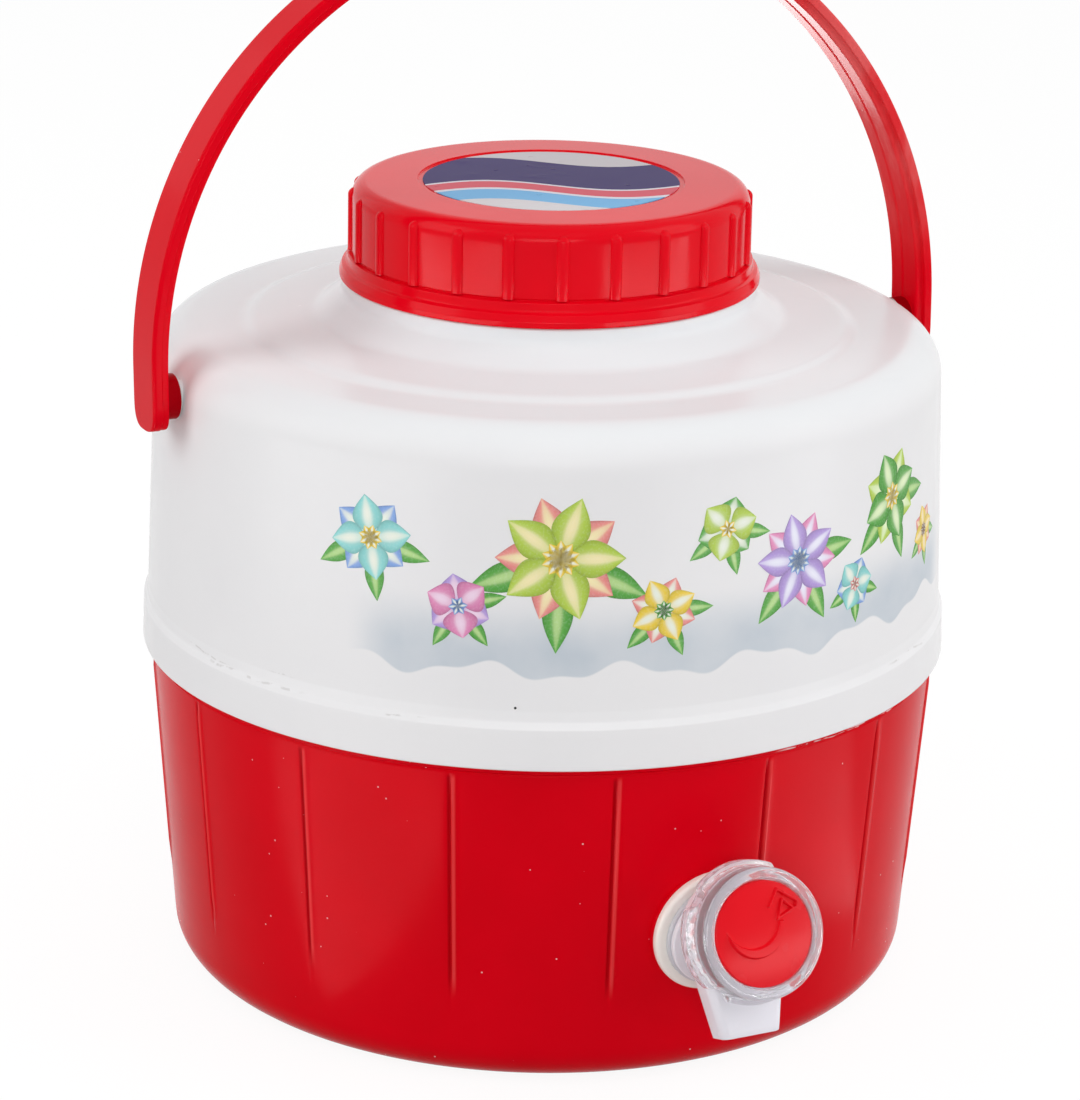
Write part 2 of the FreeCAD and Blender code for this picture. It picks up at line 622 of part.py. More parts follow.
def make_foam():
    """Foam that fills the space between the shells and the vessel, cleared round tap and pivots."""
    body = make_body("foam_insulation")
    inner_low = f"(base_radius - body_wall - curve_gap + {BODY_FLOOR} * {WALL_SLOPE})"
    shell_low = "(shell_low_radius - shell_wall - curve_gap)"
    shell_top = "(shell_top_radius - shell_wall - curve_gap)"
    neck_low = "(liner_shoulder + liner_shoulder_rise)"
    ceiling = f"({SHELL_INNER_TOP} - curve_gap)"
    foam_floor = f"({BODY_FLOOR} + curve_gap)"
    tongue_side = f"({TONGUE_RADIUS} - body_wall - curve_gap)"
    wall_up = (f"({tongue_side} - {inner_low}) / ({TONGUE_TOP} - {foam_floor})", "1")
    wall_down = (f"({shell_low} - {shell_top}) / ({ceiling} - {BAND_TOP})", "-1")
    revolve(body, "foam_turned", [
        ("0", f"{BODY_FLOOR} + foam_floor_gap"),
        ("fill_hole_radius + curve_gap", f"{BODY_FLOOR} + foam_floor_gap"),
        ("fill_hole_radius + curve_gap", foam_floor),
        *bevelled((inner_low, foam_floor), "base_round - body_wall - curve_gap", ("-1", "0"), wall_up),
        (tongue_side, TONGUE_TOP),
        (shell_low, BAND_TOP),
        *bevelled((shell_top, ceiling), "shoulder_round - shell_wall - curve_gap", wall_down, ("-1", "0")),
        ("neck_radius + curve_gap", ceiling),
        ("neck_radius + curve_gap", f"{neck_low} + curve_gap"),
        *bevelled(("(liner_top_radius + curve_gap)", "(liner_shoulder + curve_gap)"),
                  "liner_shoulder_round + curve_gap", LINER_ROOF, LINER_DOWN),
        *bevelled(("(liner_base_radius + curve_gap)", "(liner_floor - curve_gap)"),
                  "liner_base_round + curve_gap", LINER_UP, ("-1", "0")),
        ("0", "liner_floor - curve_gap"),
    ])
    sleeve = shank_sketch(body, "sleeve_space", f"{LINER_PAD_INNER} + cut_margin")
    add_circle(sleeve, "sleeve_radius + curve_gap")
    pocket(body, "foam_sleeve_hole", sleeve, f"{LINER_PAD_INNER} + 2 * cut_margin", forward=True)
    inner_pad = shank_sketch(body, "liner_pad_space", f"{LINER_PAD_OUTER} - curve_gap")
    add_circle(inner_pad, "liner_pad_radius + curve_gap")
    pocket(body, "foam_liner_pad", inner_pad, "liner_pad_depth + cut_margin")
    outer_pad = shank_sketch(body, "tap_pad_space", f"{PAD_INNER} + curve_gap")
    add_circle(outer_pad, "tap_pad_radius + curve_gap")
    pocket(body, "foam_tap_pad", outer_pad, f"{PAD_INNER} + cut_margin", forward=True)
    pivot_depth = "pivot_pad_thickness + stud_head_thickness + curve_gap"
    pivot = make_sketch(body, "pivot_space", "YZ_Plane", lift=f"pivot_pad_face - ({pivot_depth})")
    add_circle(pivot, "pivot_pad_radius + curve_gap", up="pivot_height")
    cut = pocket(body, "foam_pivot", pivot, f"{pivot_depth} + cut_margin", forward=True)
    mirror(body, "foam_pivots", [cut])
    return body


def make_fill_plug():
    """Push-in plug that closes the foam filling hole under the base."""
    body = make_body("foam_fill_plug")
    revolve(body, "fill_plug_turned", [
        ("0", "foot_recess - fill_plug_cap"),
        ("fill_hole_radius + fill_plug_lip", "foot_recess - fill_plug_cap"),
        ("fill_hole_radius + fill_plug_lip", "foot_recess"),
        ("fill_hole_radius - fit_gap", "foot_recess"),
        ("fill_hole_radius - fit_gap", f"{BODY_FLOOR} + fill_plug_reach"),
        ("0", f"{BODY_FLOOR} + fill_plug_reach"),
    ])
    return body


def make_lid_cap():
    """Red screw lid: flared flange, plain band, ribbed skirt, rounded top and label recess."""
    body = make_body("lid_cap")
    flange_low = f"({LID_BOTTOM} + lid_flange_height / 2)"
    cap = revolve(body, "cap_turned", [
        ("0", LID_CEILING),
        ("0", LABEL_FLOOR),
        ("label_recess_radius", LABEL_FLOOR),
        ("label_recess_radius", "lid_top"),
        ("lid_skirt_radius", LID_EDGE),
        ("lid_skirt_radius", LID_BAND_TOP),
        ("lid_band_radius", f"{LID_BAND_TOP} - lid_groove_height / 2"),
        ("lid_band_radius", f"{LID_FLANGE_TOP} + lid_groove_height"),
        ("lid_band_radius - lid_groove_depth", LID_FLANGE_TOP),
        ("lid_flange_radius - lid_flange_flare", LID_FLANGE_TOP),
        ("lid_flange_radius", flange_low),
        ("lid_flange_radius", LID_BOTTOM),
        (LID_BORE, LID_BOTTOM),
        (LID_BORE, f"{LID_CEILING} - lid_inner_bevel"),
        (f"{LID_BORE} - lid_inner_bevel", LID_CEILING),
    ])
    soften(body, "cap_edge", cap, "lid_edge_round", ("lid_skirt_radius", LID_EDGE))
    rib = make_sketch(body, "rib_outline", "YZ_Plane", lift="lid_skirt_radius - lid_rib_root")
    low = f"{LID_BAND_TOP} - lid_groove_height / 2"
    top = "(lid_top - lid_rib_top_gap - lid_rib_width / 2)"
    half = "lid_rib_width / 2"
    width = value_of(half)
    peak = value_of(top)
    foot = value_of(low)
    left = rib.addGeometry(Part.LineSegment(Vector(-width, foot, 0), Vector(-width, peak, 0)), False)
    crown = rib.addGeometry(Part.Arc(Vector(-width, peak, 0), Vector(0, peak + width, 0),
                                     Vector(width, peak, 0)), False)
    right = rib.addGeometry(Part.LineSegment(Vector(width, peak, 0), Vector(width, foot, 0)), False)
    sill = rib.addGeometry(Part.LineSegment(Vector(width, foot, 0), Vector(-width, foot, 0)), False)
    rib.addConstraint(Sketcher.Constraint("Coincident", left, 2, crown, 2))
    rib.addConstraint(Sketcher.Constraint("Coincident", crown, 1, right, 1))
    rib.addConstraint(Sketcher.Constraint("Coincident", right, 2, sill, 1))
    rib.addConstraint(Sketcher.Constraint("Coincident", sill, 2, left, 1))
    place_point(rib, left, 1, f"-1 * {half}", low)
    place_point(rib, right, 2, half, low)
    place_point(rib, left, 2, f"-1 * {half}", top)
    place_point(rib, right, 1, half, top)
    hold(rib, "DistanceY", top, -1, 1, crown, 3)
    bar = pad(body, "grip_rib", rib, "lid_band_radius - lid_skirt_radius + lid_rib_root")
    around(body, "grip_ribs", [bar], "lid_rib_count")
    return body


def make_lid_plug():
    """White cup under the lid that holds its foam, with a flange over the neck's rim."""
    body = make_body("lid_plug")
    seat = "(plug_seal_height + plug_seal_thickness + curve_gap)"
    revolve(body, "plug_turned", [
        ("0", "plug_bottom"),
        ("plug_radius - plug_bottom_bevel", "plug_bottom"),
        ("plug_radius", "plug_bottom + plug_bottom_bevel"),
        ("plug_radius", "plug_seal_height - 2 * plug_lip"),
        ("plug_radius + plug_lip", "plug_seal_height - plug_lip"),
        ("plug_radius + plug_lip", "plug_seal_height"),
        ("plug_radius", "plug_seal_height"),
        ("plug_radius", seat),
        ("plug_radius + plug_lip", seat),
        ("plug_radius + plug_lip", f"{seat} + plug_lip"),
        ("plug_radius", f"{seat} + 2 * plug_lip"),
        ("plug_radius", GASKET_TOP),
        ("neck_radius", GASKET_TOP),
        ("neck_radius", f"{GASKET_TOP} + plug_flange_thickness"),
        ("plug_radius", f"{GASKET_TOP} + plug_flange_thickness"),
        ("plug_radius", LID_CEILING),
        ("plug_radius - plug_wall", LID_CEILING),
        ("plug_radius - plug_wall", "plug_bottom + plug_wall"),
        ("0", "plug_bottom + plug_wall"),
    ])
    return body


def make_disc(label, radius, low, high):
    """Return a plain disc about Z."""
    body = make_body(label)
    revolve(body, label + "_turned", [("0", low), (radius, low), (radius, high), ("0", high)])
    return body


def make_handle():
    """Red bail handle: stepped and bevelled strap in a half circle, straight legs and round feet."""
    body = make_body("handle")
    half = "handle_width / 2"
    middle = "(handle_radius - handle_outer_thickness)"
    section = [
        ("handle_radius", f"{half} - handle_edge_bevel"),
        ("handle_radius - handle_edge_bevel", half),
        (middle, half),
        (middle, f"{half} - handle_inner_step"),
        (HANDLE_INNER, f"{half} - handle_inner_step"),
        (HANDLE_INNER, f"-1 * ({half} - handle_inner_step)"),
        (middle, f"-1 * ({half} - handle_inner_step)"),
        (middle, f"-1 * {half}"),
        ("handle_radius - handle_edge_bevel", f"-1 * {half}"),
        ("handle_radius", f"-1 * ({half} - handle_edge_bevel)"),
    ]
    arch_section = make_sketch(body, "arch_section", "XY_Plane", lift="handle_arch_height")
    add_outline(arch_section, section)
    arch = body.newObject("PartDesign::Revolution", "handle_arch")
    arch.Profile = arch_section
    arch.ReferenceAxis = (arch_section, ["V_Axis"])
    arch.Angle = 180
    arch.Reversed = True
    doc.recompute()
    if body.Shape.BoundBox.ZMax < value_of("handle_arch_height") + 1:
        arch.Reversed = False
        doc.recompute()
    leg_section = make_sketch(body, "leg_section", "XY_Plane", lift="handle_arch_height")
    add_outline(leg_section, section)
    leg = pad(body, "handle_leg", leg_section, "handle_arch_height - pivot_height", inward=True)
    foot_circle = make_sketch(body, "foot_circle", "YZ_Plane", lift="handle_radius - handle_outer_thickness")
    add_circle(foot_circle, half, up="pivot_height")
    foot = pad(body, "handle_foot", foot_circle, "handle_outer_thickness")
    boss_circle = make_sketch(body, "boss_circle", "YZ_Plane", lift=f"{WASHER_FACE} + fit_gap")
    add_circle(boss_circle, "pivot_boss_radius", up="pivot_height")
    boss = pad(body, "pivot_boss", boss_circle, f"{middle} - {WASHER_FACE} - fit_gap")
    mirror(body, "handle_feet", [leg, foot, boss])
    bore = make_sketch(body, "pivot_bore_circle", "YZ_Plane", lift="pivot_pad_face + stud_reach + curve_gap")
    add_circle(bore, "stud_radius + fit_gap", up="pivot_height")
    hole = pocket(body, "pivot_bore", bore, "stud_reach + stud_hole_depth")
    mirror(body, "pivot_bores", [hole])
    away_from_tap = FreeCAD.Rotation(Vector(-1, 0, 0), value_of("handle_rest_lean"))
    body.Placement = FreeCAD.Placement(Vector(0, -1, 1), away_from_tap)
    body.setExpression("Placement.Rotation.Angle", bound("handle_rest_lean"))
    body.setExpression("Placement.Base.y", bound("-1 * pivot_height * sin(handle_rest_lean)"))
    body.setExpression("Placement.Base.z", bound("pivot_height * (1 - cos(handle_rest_lean))"))
    doc.recompute()
    return body


def make_pivot_parts(side, sign):
    """Headed stud through the shell's pad into the handle's foot, with a friction washer."""
    turn = FreeCAD.Rotation(Vector(0, 1, 0), 90 * sign)
    stud = make_body(f"pivot_stud_{side}")
    seat = "(pivot_pad_face - pivot_pad_thickness)"
    revolve(stud, f"stud_turned_{side}", [
        ("0", f"{seat} - stud_head_thickness"),
        ("stud_head_radius", f"{seat} - stud_head_thickness"),
        ("stud_head_radius", seat),
        ("stud_radius", seat),
        ("stud_radius", "pivot_pad_face + stud_reach"),
        ("0", "pivot_pad_face + stud_reach"),
    ])
    washer = ring(f"pivot_washer_{side}", "stud_radius + curve_gap", "pivot_pad_radius",
                  "pivot_pad_face", WASHER_FACE)
    for body in (stud, washer):
        body.Placement = FreeCAD.Placement(Vector(0, 0, value_of("pivot_height")), turn)
        body.setExpression("Placement.Base.z", bound("pivot_height"))
    return stud, washer


def make_tap_body():
    """White tap: shank square to the wall, tilted barrel and hub, and a flat tapered spout."""
    body = make_body("tap_body")
    revolve(body, "tap_barrel", [
        ("0", "0"),
        ("barrel_radius", "0"),
        ("barrel_radius", "hub_back - hub_bevel"),
        ("hub_radius", "hub_back"),
        ("hub_radius", "hub_front - hub_bevel"),
        ("hub_radius - hub_bevel", "hub_front"),
        ("0", "hub_front"),
    ])
    spout = make_sketch(body, "spout_outline", "XY_Plane", lift="spout_back")
    half_tip = "spout_tip_width / 2"
    add_outline(spout, [
        (half_tip, "-1 * spout_length"),
        ("hub_radius - spout_root_inset", "-1 * hub_radius / 4"),
        ("-1 * (hub_radius - spout_root_inset)", "-1 * hub_radius / 4"),
        (f"-1 * {half_tip}", "-1 * spout_length"),
    ])
    pad(body, "spout", spout, "spout_thickness")
    seat = make_sketch(body, "seat_cut", "XY_Plane", turn=ELBOW_ANGLE,
                       lift=f"{TAP_SEAT} * cos({ELBOW_ANGLE})",
                       up=f"-1 * {TAP_SEAT} * sin({ELBOW_ANGLE})")
    add_circle(seat, "4 * barrel_radius")
    pocket(body, "seat_face", seat, "4 * barrel_radius")
    for name, radius, length, inward in (
            ("tap_flange", "tap_flange_radius", "tap_flange_thickness", False),
            ("shank", "shank_radius", f"{TAP_SEAT} + {SHANK_END}", True)):
        circle = make_sketch(body, name + "_circle", "XY_Plane", turn=ELBOW_ANGLE,
                             lift=f"{TAP_SEAT} * cos({ELBOW_ANGLE})",
                             up=f"-1 * {TAP_SEAT} * sin({ELBOW_ANGLE})")
        add_circle(circle, radius)
        pad(body, name, circle, length, inward=inward)
    inlet = make_sketch(body, "inlet_circle", "XY_Plane", turn=ELBOW_ANGLE,
                        lift=f"-1 * ({SHANK_END} + cut_margin) * cos({ELBOW_ANGLE})",
                        up=f"({SHANK_END} + cut_margin) * sin({ELBOW_ANGLE})")
    add_circle(inlet, "shank_bore_radius")
    pocket(body, "inlet_bore", inlet, f"{SHANK_END} + cut_margin + inlet_reach", forward=True)
    chamber = make_sketch(body, "rotor_bore_circle", "XY_Plane", lift="rotor_bore_back")
    add_circle(chamber, "rotor_bore_radius")
    pocket(body, "rotor_bore", chamber, "hub_front - hub_front_wall - rotor_bore_back", forward=True)
    stem_hole = make_sketch(body, "stem_hole_circle", "XY_Plane", lift="hub_front + cut_margin")
    add_circle(stem_hole, "stem_radius + fit_gap")
    pocket(body, "stem_hole", stem_hole, "hub_front_wall + cut_margin + rotor_length / 2")
    passage = make_sketch(body, "passage_outline", "XZ_Plane", lift="rotor_bore_radius / 2")
    low = "(spout_back + spout_wall)"
    high = "(spout_back + spout_thickness - spout_wall)"
    half_slot = "(spout_tip_width / 2 - spout_side_wall)"
    add_outline(passage, [
        (half_slot, low), (half_slot, high), (f"-1 * {half_slot}", high), (f"-1 * {half_slot}", low)])
    pocket(body, "spout_passage", passage, "spout_length", forward=True)
    set_on_tap(body, VALVE_ANGLE)
    return body


def make_valve_rotor():
    """Hollow rotor with one side port, seal grooves, and a stem with two flats for the knob."""
    body = make_body("valve_rotor")
    groove = f"({ROTOR_RADIUS} - seal_cord)"
    back_groove = f"({ROTOR_BACK} + seal_inset)"
    front_groove = f"({ROTOR_FRONT} - seal_inset - seal_cord)"
    revolve(body, "rotor_turned", [
        ("0", f"{ROTOR_FRONT} - rotor_wall"),
        ("rotor_bore_radius - rotor_wall", f"{ROTOR_FRONT} - rotor_wall"),
        ("rotor_bore_radius - rotor_wall", ROTOR_BACK),
        (ROTOR_RADIUS, ROTOR_BACK),
        (ROTOR_RADIUS, back_groove),
        (groove, back_groove),
        (groove, f"{back_groove} + seal_cord"),
        (ROTOR_RADIUS, f"{back_groove} + seal_cord"),
        (ROTOR_RADIUS, front_groove),
        (groove, front_groove),
        (groove, f"{front_groove} + seal_cord"),
        (ROTOR_RADIUS, f"{front_groove} + seal_cord"),
        (ROTOR_RADIUS, ROTOR_FRONT),
        ("stem_radius", ROTOR_FRONT),
        ("stem_radius", f"{ROTOR_FRONT} + stem_length"),
        ("0", f"{ROTOR_FRONT} + stem_length"),
    ])
    port = make_sketch(body, "port_circle", "YZ_Plane", lift="0")
    add_circle(port, "rotor_port_radius", up=f"({ROTOR_BACK} + {ROTOR_FRONT}) / 2")
    pocket(body, "side_port", port, "rotor_bore_radius + cut_margin")
    beyond = "(stem_radius + cut_margin)"
    flat = make_sketch(body, "stem_flat_outline", "XY_Plane", lift=f"{ROTOR_FRONT} + stem_length")
    add_outline(flat, [
        ("stem_flat", f"-1 * {beyond}"), (beyond, f"-1 * {beyond}"), (beyond, beyond), ("stem_flat", beyond)])
    cut = pocket(body, "stem_side", flat, f"{ROTOR_FRONT} + stem_length - knob_back - knob_boss_back")
    mirror(body, "stem_sides", [cut])
    screw = make_sketch(body, "screw_hole_circle", "XY_Plane", lift=f"{ROTOR_FRONT} + stem_length")
    add_circle(screw, "screw_radius + fit_gap")
    pocket(body, "screw_hole", screw, "screw_length - knob_web / 2")
    set_on_tap(body, VALVE_ANGLE)
    return body


def make_rotor_seals():
    """The two square-cut seal rings in the rotor's grooves."""
    rings = []
    for name, low in (("back", f"{ROTOR_BACK} + seal_inset"),
                      ("front", f"{ROTOR_FRONT} - seal_inset - seal_cord")):
        discs = []
        for part, radius in (("rim", ROTOR_RADIUS),
                             ("hole", f"{ROTOR_RADIUS} - seal_cord + fit_gap / 2")):
            disc = doc.addObject("Part::Cylinder", f"seal_{part}_{name}")
            disc.setExpression("Radius", bound(radius))
            disc.setExpression("Height", bound("seal_cord - fit_gap"))
            disc.setExpression("Placement.Base.z", bound(f"{low} + fit_gap / 2"))
            discs.append(disc)
        cut = doc.addObject("Part::Cut", f"seal_{name}")
        cut.Base, cut.Tool = discs
        rings.append(cut)
    pair = doc.addObject("Part::Compound", "rotor_seals")
    pair.Label = "rotor_seals"
    pair.Links = rings
    set_on_tap(pair, VALVE_ANGLE)
    return pair


def make_knob_ring():
    """Clear knob: four-lobed grip, round front tier, seat for the disc, and a boss on the stem."""
    body = make_body("knob_ring")
    grip_front = "(knob_back + knob_grip_length)"
    knob = revolve(body, "knob_turned", [
        ("knob_grip_radius - knob_grip_wall", "knob_back"),
        ("knob_grip_radius", "knob_back"),
        ("knob_grip_radius", f"{grip_front} - knob_tier_bevel"),
        ("knob_front_radius", grip_front),
        ("knob_front_radius", KNOB_FRONT),
        ("disc_radius + curve_gap + knob_edge_round / 2", KNOB_FRONT),
        ("disc_radius + curve_gap", f"{KNOB_FRONT} - knob_edge_round / 2"),
        ("disc_radius + curve_gap", WEB_FRONT),
        ("screw_radius + curve_gap", WEB_FRONT),
        ("screw_radius + curve_gap", WEB_BACK),
        ("knob_grip_radius - knob_grip_wall", WEB_BACK),
    ])
    soften(body, "knob_edge", knob, "knob_edge_round", ("knob_front_radius", KNOB_FRONT))
    boss_circle = make_sketch(body, "knob_boss_circle", "XY_Plane", lift="knob_back + knob_boss_back")
    add_circle(boss_circle, "knob_boss_radius")
    pad(body, "knob_boss", boss_circle, "knob_web_back - knob_boss_back")
    socket = make_sketch(body, "socket_outline", "XY_Plane", lift="knob_back + knob_boss_back")
    flat = "stem_flat + fit_gap"
    tall = "stem_radius + fit_gap"
    add_outline(socket, [(flat, f"-1 * ({tall})"), (flat, tall),
                         (f"-1 * ({flat})", tall), (f"-1 * ({flat})", f"-1 * ({tall})")])
    pocket(body, "stem_socket", socket, forward=True,
           length=f"{ROTOR_FRONT} + stem_length - knob_back - knob_boss_back + curve_gap")
    notch = make_sketch(body, "notch_circle", "XY_Plane", lift="knob_back - cut_margin")
    place = "(knob_grip_radius + knob_notch_radius - knob_notch_depth) * sqrt(0.5)"
    add_circle(notch, "knob_notch_radius", across=place, up=place)
    cut = pocket(body, "grip_notch", notch, "knob_grip_length + cut_margin", forward=True)
    around(body, "grip_notches", [cut], "knob_lobe_count")
    set_on_tap(body, VALVE_ANGLE)
    return body


def make_knob_disc():
    """Red domed disc that closes the knob over its screw."""
    body = make_body("knob_disc")
    back = f"({WEB_FRONT} + fit_gap)"
    edge = f"({back} + disc_edge)"
    cup_top = f"({back} + screw_head_thickness + curve_gap)"
    sketch = make_sketch(body, "disc_outline", "XZ_Plane")
    points = [
        ("screw_head_radius + disc_cup_margin", back), ("disc_radius", back), ("disc_radius", edge),
        ("0", f"{edge} + disc_crown"), ("0", cup_top),
        ("screw_head_radius + disc_cup_margin", cup_top)]
    corners = [Vector(value_of(across), value_of(up), 0) for across, up in points]
    rise = value_of("disc_crown")
    reach = value_of("disc_radius")
    sphere = (reach * reach + rise * rise) / (2 * rise)
    shallow = corners[3].y - sphere + (sphere * sphere - reach * reach / 4) ** 0.5
    edges = []
    for index, corner in enumerate(corners):
        following = corners[(index + 1) % len(corners)]
        if index == 2:
            middle = Vector(reach / 2, shallow, 0)
            edges.append(sketch.addGeometry(Part.Arc(corner, middle, following), False))
        else:
            edges.append(sketch.addGeometry(Part.LineSegment(corner, following), False))
    ends = [(edge_id, 1, 2) for edge_id in edges]
    for index, (edge_id, start, finish) in enumerate(ends):
        following, next_start, unused = ends[(index + 1) % len(ends)]
        sketch.addConstraint(Sketcher.Constraint("Coincident", edge_id, finish, following, next_start))
    for edge_id, (across, up) in zip(edges, points):
        place_point(sketch, edge_id, 1, across, up)
    hold(sketch, "Radius", "(disc_radius ^ 2 + disc_crown ^ 2) / (2 * disc_crown)", edges[2])
    feature = body.newObject("PartDesign::Revolution", "disc_turned")
    feature.Profile = sketch
    feature.ReferenceAxis = (sketch, ["V_Axis"])
    feature.Angle = 360
    doc.recompute()
    set_on_tap(body, VALVE_ANGLE)
    return body


def make_knob_screw():
    """Pan-head screw that holds the knob on the stem."""
    body = make_body("knob_screw")
    revolve(body, "screw_turned", [
        ("0", f"{WEB_FRONT} - screw_length"),
        ("screw_radius", f"{WEB_FRONT} - screw_length"),
        ("screw_radius", WEB_FRONT),
        ("screw_head_radius", WEB_FRONT),
        ("screw_head_radius", f"{WEB_FRONT} + screw_head_thickness / 2"),
        ("screw_head_radius - screw_head_thickness / 2", f"{WEB_FRONT} + screw_head_thickness"),
        ("0", f"{WEB_FRONT} + screw_head_thickness"),
    ])
    set_on_tap(body, VALVE_ANGLE)
    return body


def make_tap_nut():
    """Six-sided plastic nut inside the vessel."""
    body = make_body("tap_nut")
    outline = make_sketch(body, "nut_outline", "XY_Plane", lift=f"-1 * ({NUT_SEAT} + nut_thickness)")
    corners = [(f"nut_radius * cos({60 * step})", f"nut_radius * sin({60 * step})") for step in range(6)]
    add_outline(outline, corners)
    pad(body, "nut_block", outline, "nut_thickness")
    bore = make_sketch(body, "nut_bore_circle", "XY_Plane", lift=f"-1 * {NUT_SEAT} + cut_margin")
    add_circle(bore, "shank_radius + fit_gap")
    pocket(body, "nut_bore", bore, "nut_thickness + 2 * cut_margin")
    set_on_tap(body, SHANK_ANGLE)
    return body


pieces = [
    make_outer_body(),
    make_top_shell(),
    make_inner_liner(),
    make_foam(),
    make_fill_plug(),
    make_lid_cap(),
    make_lid_plug(),
    make_disc("lid_foam", "plug_radius - plug_wall - curve_gap",
              "plug_bottom + plug_wall + curve_gap", f"{LID_CEILING} - curve_gap"),
    make_disc("lid_label", "label_radius", LABEL_FLOOR, f"{LABEL_FLOOR} + label_thickness"),
    ring("rim_gasket", f"{NECK_BORE} + curve_gap", "neck_radius - curve_gap", "neck_top", GASKET_TOP),
    ring("plug_seal", "plug_radius + fit_gap", f"{NECK_BORE} - fit_gap",
         "plug_seal_height + curve_gap / 2", "plug_seal_height + plug_seal_thickness + curve_gap / 2"),
    make_handle(),
    *make_pivot_parts("left", -1),
    *make_pivot_parts("right", 1),
    make_tap_body(),
    ring("tap_gasket", "shank_radius + curve_gap", "gasket_radius", "tap_pad_proud",
         COLLAR_RING_SEAT, SHANK_ANGLE),
    ring("tap_collar", "shank_radius + curve_gap", "collar_ring_radius", COLLAR_RING_SEAT,
         TAP_SEAT, SHANK_ANGLE),
    ring("wall_sleeve", "shank_radius + curve_gap", "sleeve_radius", f"-1 * {LINER_PAD_OUTER}",
         f"-1 * {PAD_INNER}", SHANK_ANGLE),
    ring("tap_inner_washer", "shank_radius + curve_gap", "washer_radius", f"-1 * {NUT_SEAT}",
         f"-1 * {LINER_PAD_INNER}", SHANK_ANGLE),
    make_tap_nut(),
    make_valve_rotor(),
    make_rotor_seals(),
    make_knob_ring(),
    make_knob_disc(),
    make_knob_screw(),
]
doc.recompute()

for item in doc.Objects:
    if "Invalid" in item.State or "Error" in item.State:
        raise RuntimeError(f"{item.Label} did not build: {item.State}")
for piece in pieces:
    if piece.Shape.isNull() or not piece.Shape.isValid():
        raise RuntimeError(f"{piece.Label} has no valid shape")

os.makedirs("parts", exist_ok=True)
for piece in pieces:
    piece.Shape.exportStep(f"parts/{piece.Label}.step")
    box = piece.Shape.BoundBox
    print(f"{piece.Label}: {len(piece.Shape.Solids)} solid, volume {piece.Shape.Volume:.0f}, "
          f"x {box.XMin:.1f} {box.XMax:.1f}, y {box.YMin:.1f} {box.YMax:.1f}, "
          f"z {box.ZMin:.1f} {box.ZMax:.1f}")
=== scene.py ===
"""Looks of an insulated water jug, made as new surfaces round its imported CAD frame.

Sizes in the classes are millimetres in the CAD frame: the jug stands on z = 0 with its axis on z, the tap
faces -y and the handle turns about a line along x. Meshes are written in metres.
"""

import json
import logging
import math
from collections.abc import Callable, Sequence
from dataclasses import dataclass, field
from enum import Enum

import bmesh
import bpy
import numpy as np
from mathutils import Matrix


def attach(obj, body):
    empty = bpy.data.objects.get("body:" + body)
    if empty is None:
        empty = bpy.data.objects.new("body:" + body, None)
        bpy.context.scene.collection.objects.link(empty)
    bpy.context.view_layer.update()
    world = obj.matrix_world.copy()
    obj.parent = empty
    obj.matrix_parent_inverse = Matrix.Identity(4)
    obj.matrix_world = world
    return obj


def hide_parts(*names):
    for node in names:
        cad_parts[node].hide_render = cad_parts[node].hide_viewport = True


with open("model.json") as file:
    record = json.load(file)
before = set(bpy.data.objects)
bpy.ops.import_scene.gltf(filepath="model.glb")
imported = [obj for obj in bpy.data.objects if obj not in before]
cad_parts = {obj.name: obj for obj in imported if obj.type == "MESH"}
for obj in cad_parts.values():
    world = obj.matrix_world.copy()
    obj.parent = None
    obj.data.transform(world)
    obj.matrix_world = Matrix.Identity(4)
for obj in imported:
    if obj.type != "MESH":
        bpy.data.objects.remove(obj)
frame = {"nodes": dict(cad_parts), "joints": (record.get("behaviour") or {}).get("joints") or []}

LOG = logging.getLogger("water_jug")
MM = 0.001
FULL_TURN = 2 * math.pi
INK = "ink"
PALE_RAYS = ("Is Camera Ray", "Is Glossy Ray", "Is Transmission Ray")

# Arcs at rounded corners: gap to the true arc in mm, turns of one step, greatest share of an edge
ARC_GAP = 0.02
ARC_TURNS = (math.radians(4), math.radians(15))
ARC_SHARE = 0.46

Array = np.ndarray
Colour = tuple[float, float, float]
Corner = tuple[float, float, float]
Size = tuple[float, float]
Socket = bpy.types.NodeSocket
Material = bpy.types.Material


class Body(str, Enum):
    """The bodies of the frame that new pieces move with."""

    JUG = "jug"
    BAIL = "bail"
    VALVE = "valve"
    LID = "lid"


class Slot(str, Enum):
    """The record's material slots, which no new piece here is given."""

    RED = "red_plastic"
    WHITE = "white_plastic"
    LABEL = "label_film"
    IVORY = "ivory_rubber"
    CLEAR = "clear_plastic"


# Surfaces worked out as arrays


@dataclass
class Surface:
    """Points in millimetres with the faces between them.

    Attributes:
        points: Array of (n, 3) places.
        quads: Array of (q, 4) point numbers.
        tris: Array of (t, 3) point numbers.
        inks: Array of (n, 4) colours, for printed pieces only.
    """

    points: Array
    quads: Array
    tris: Array = field(default_factory=lambda: np.zeros((0, 3), int))
    inks: Array | None = None

    def placed(self, seat: "Seat") -> "Surface":
        """Return the surface moved from its own axes to a seat."""
        return Surface(seat.world(self.points), self.quads, self.tris, self.inks)


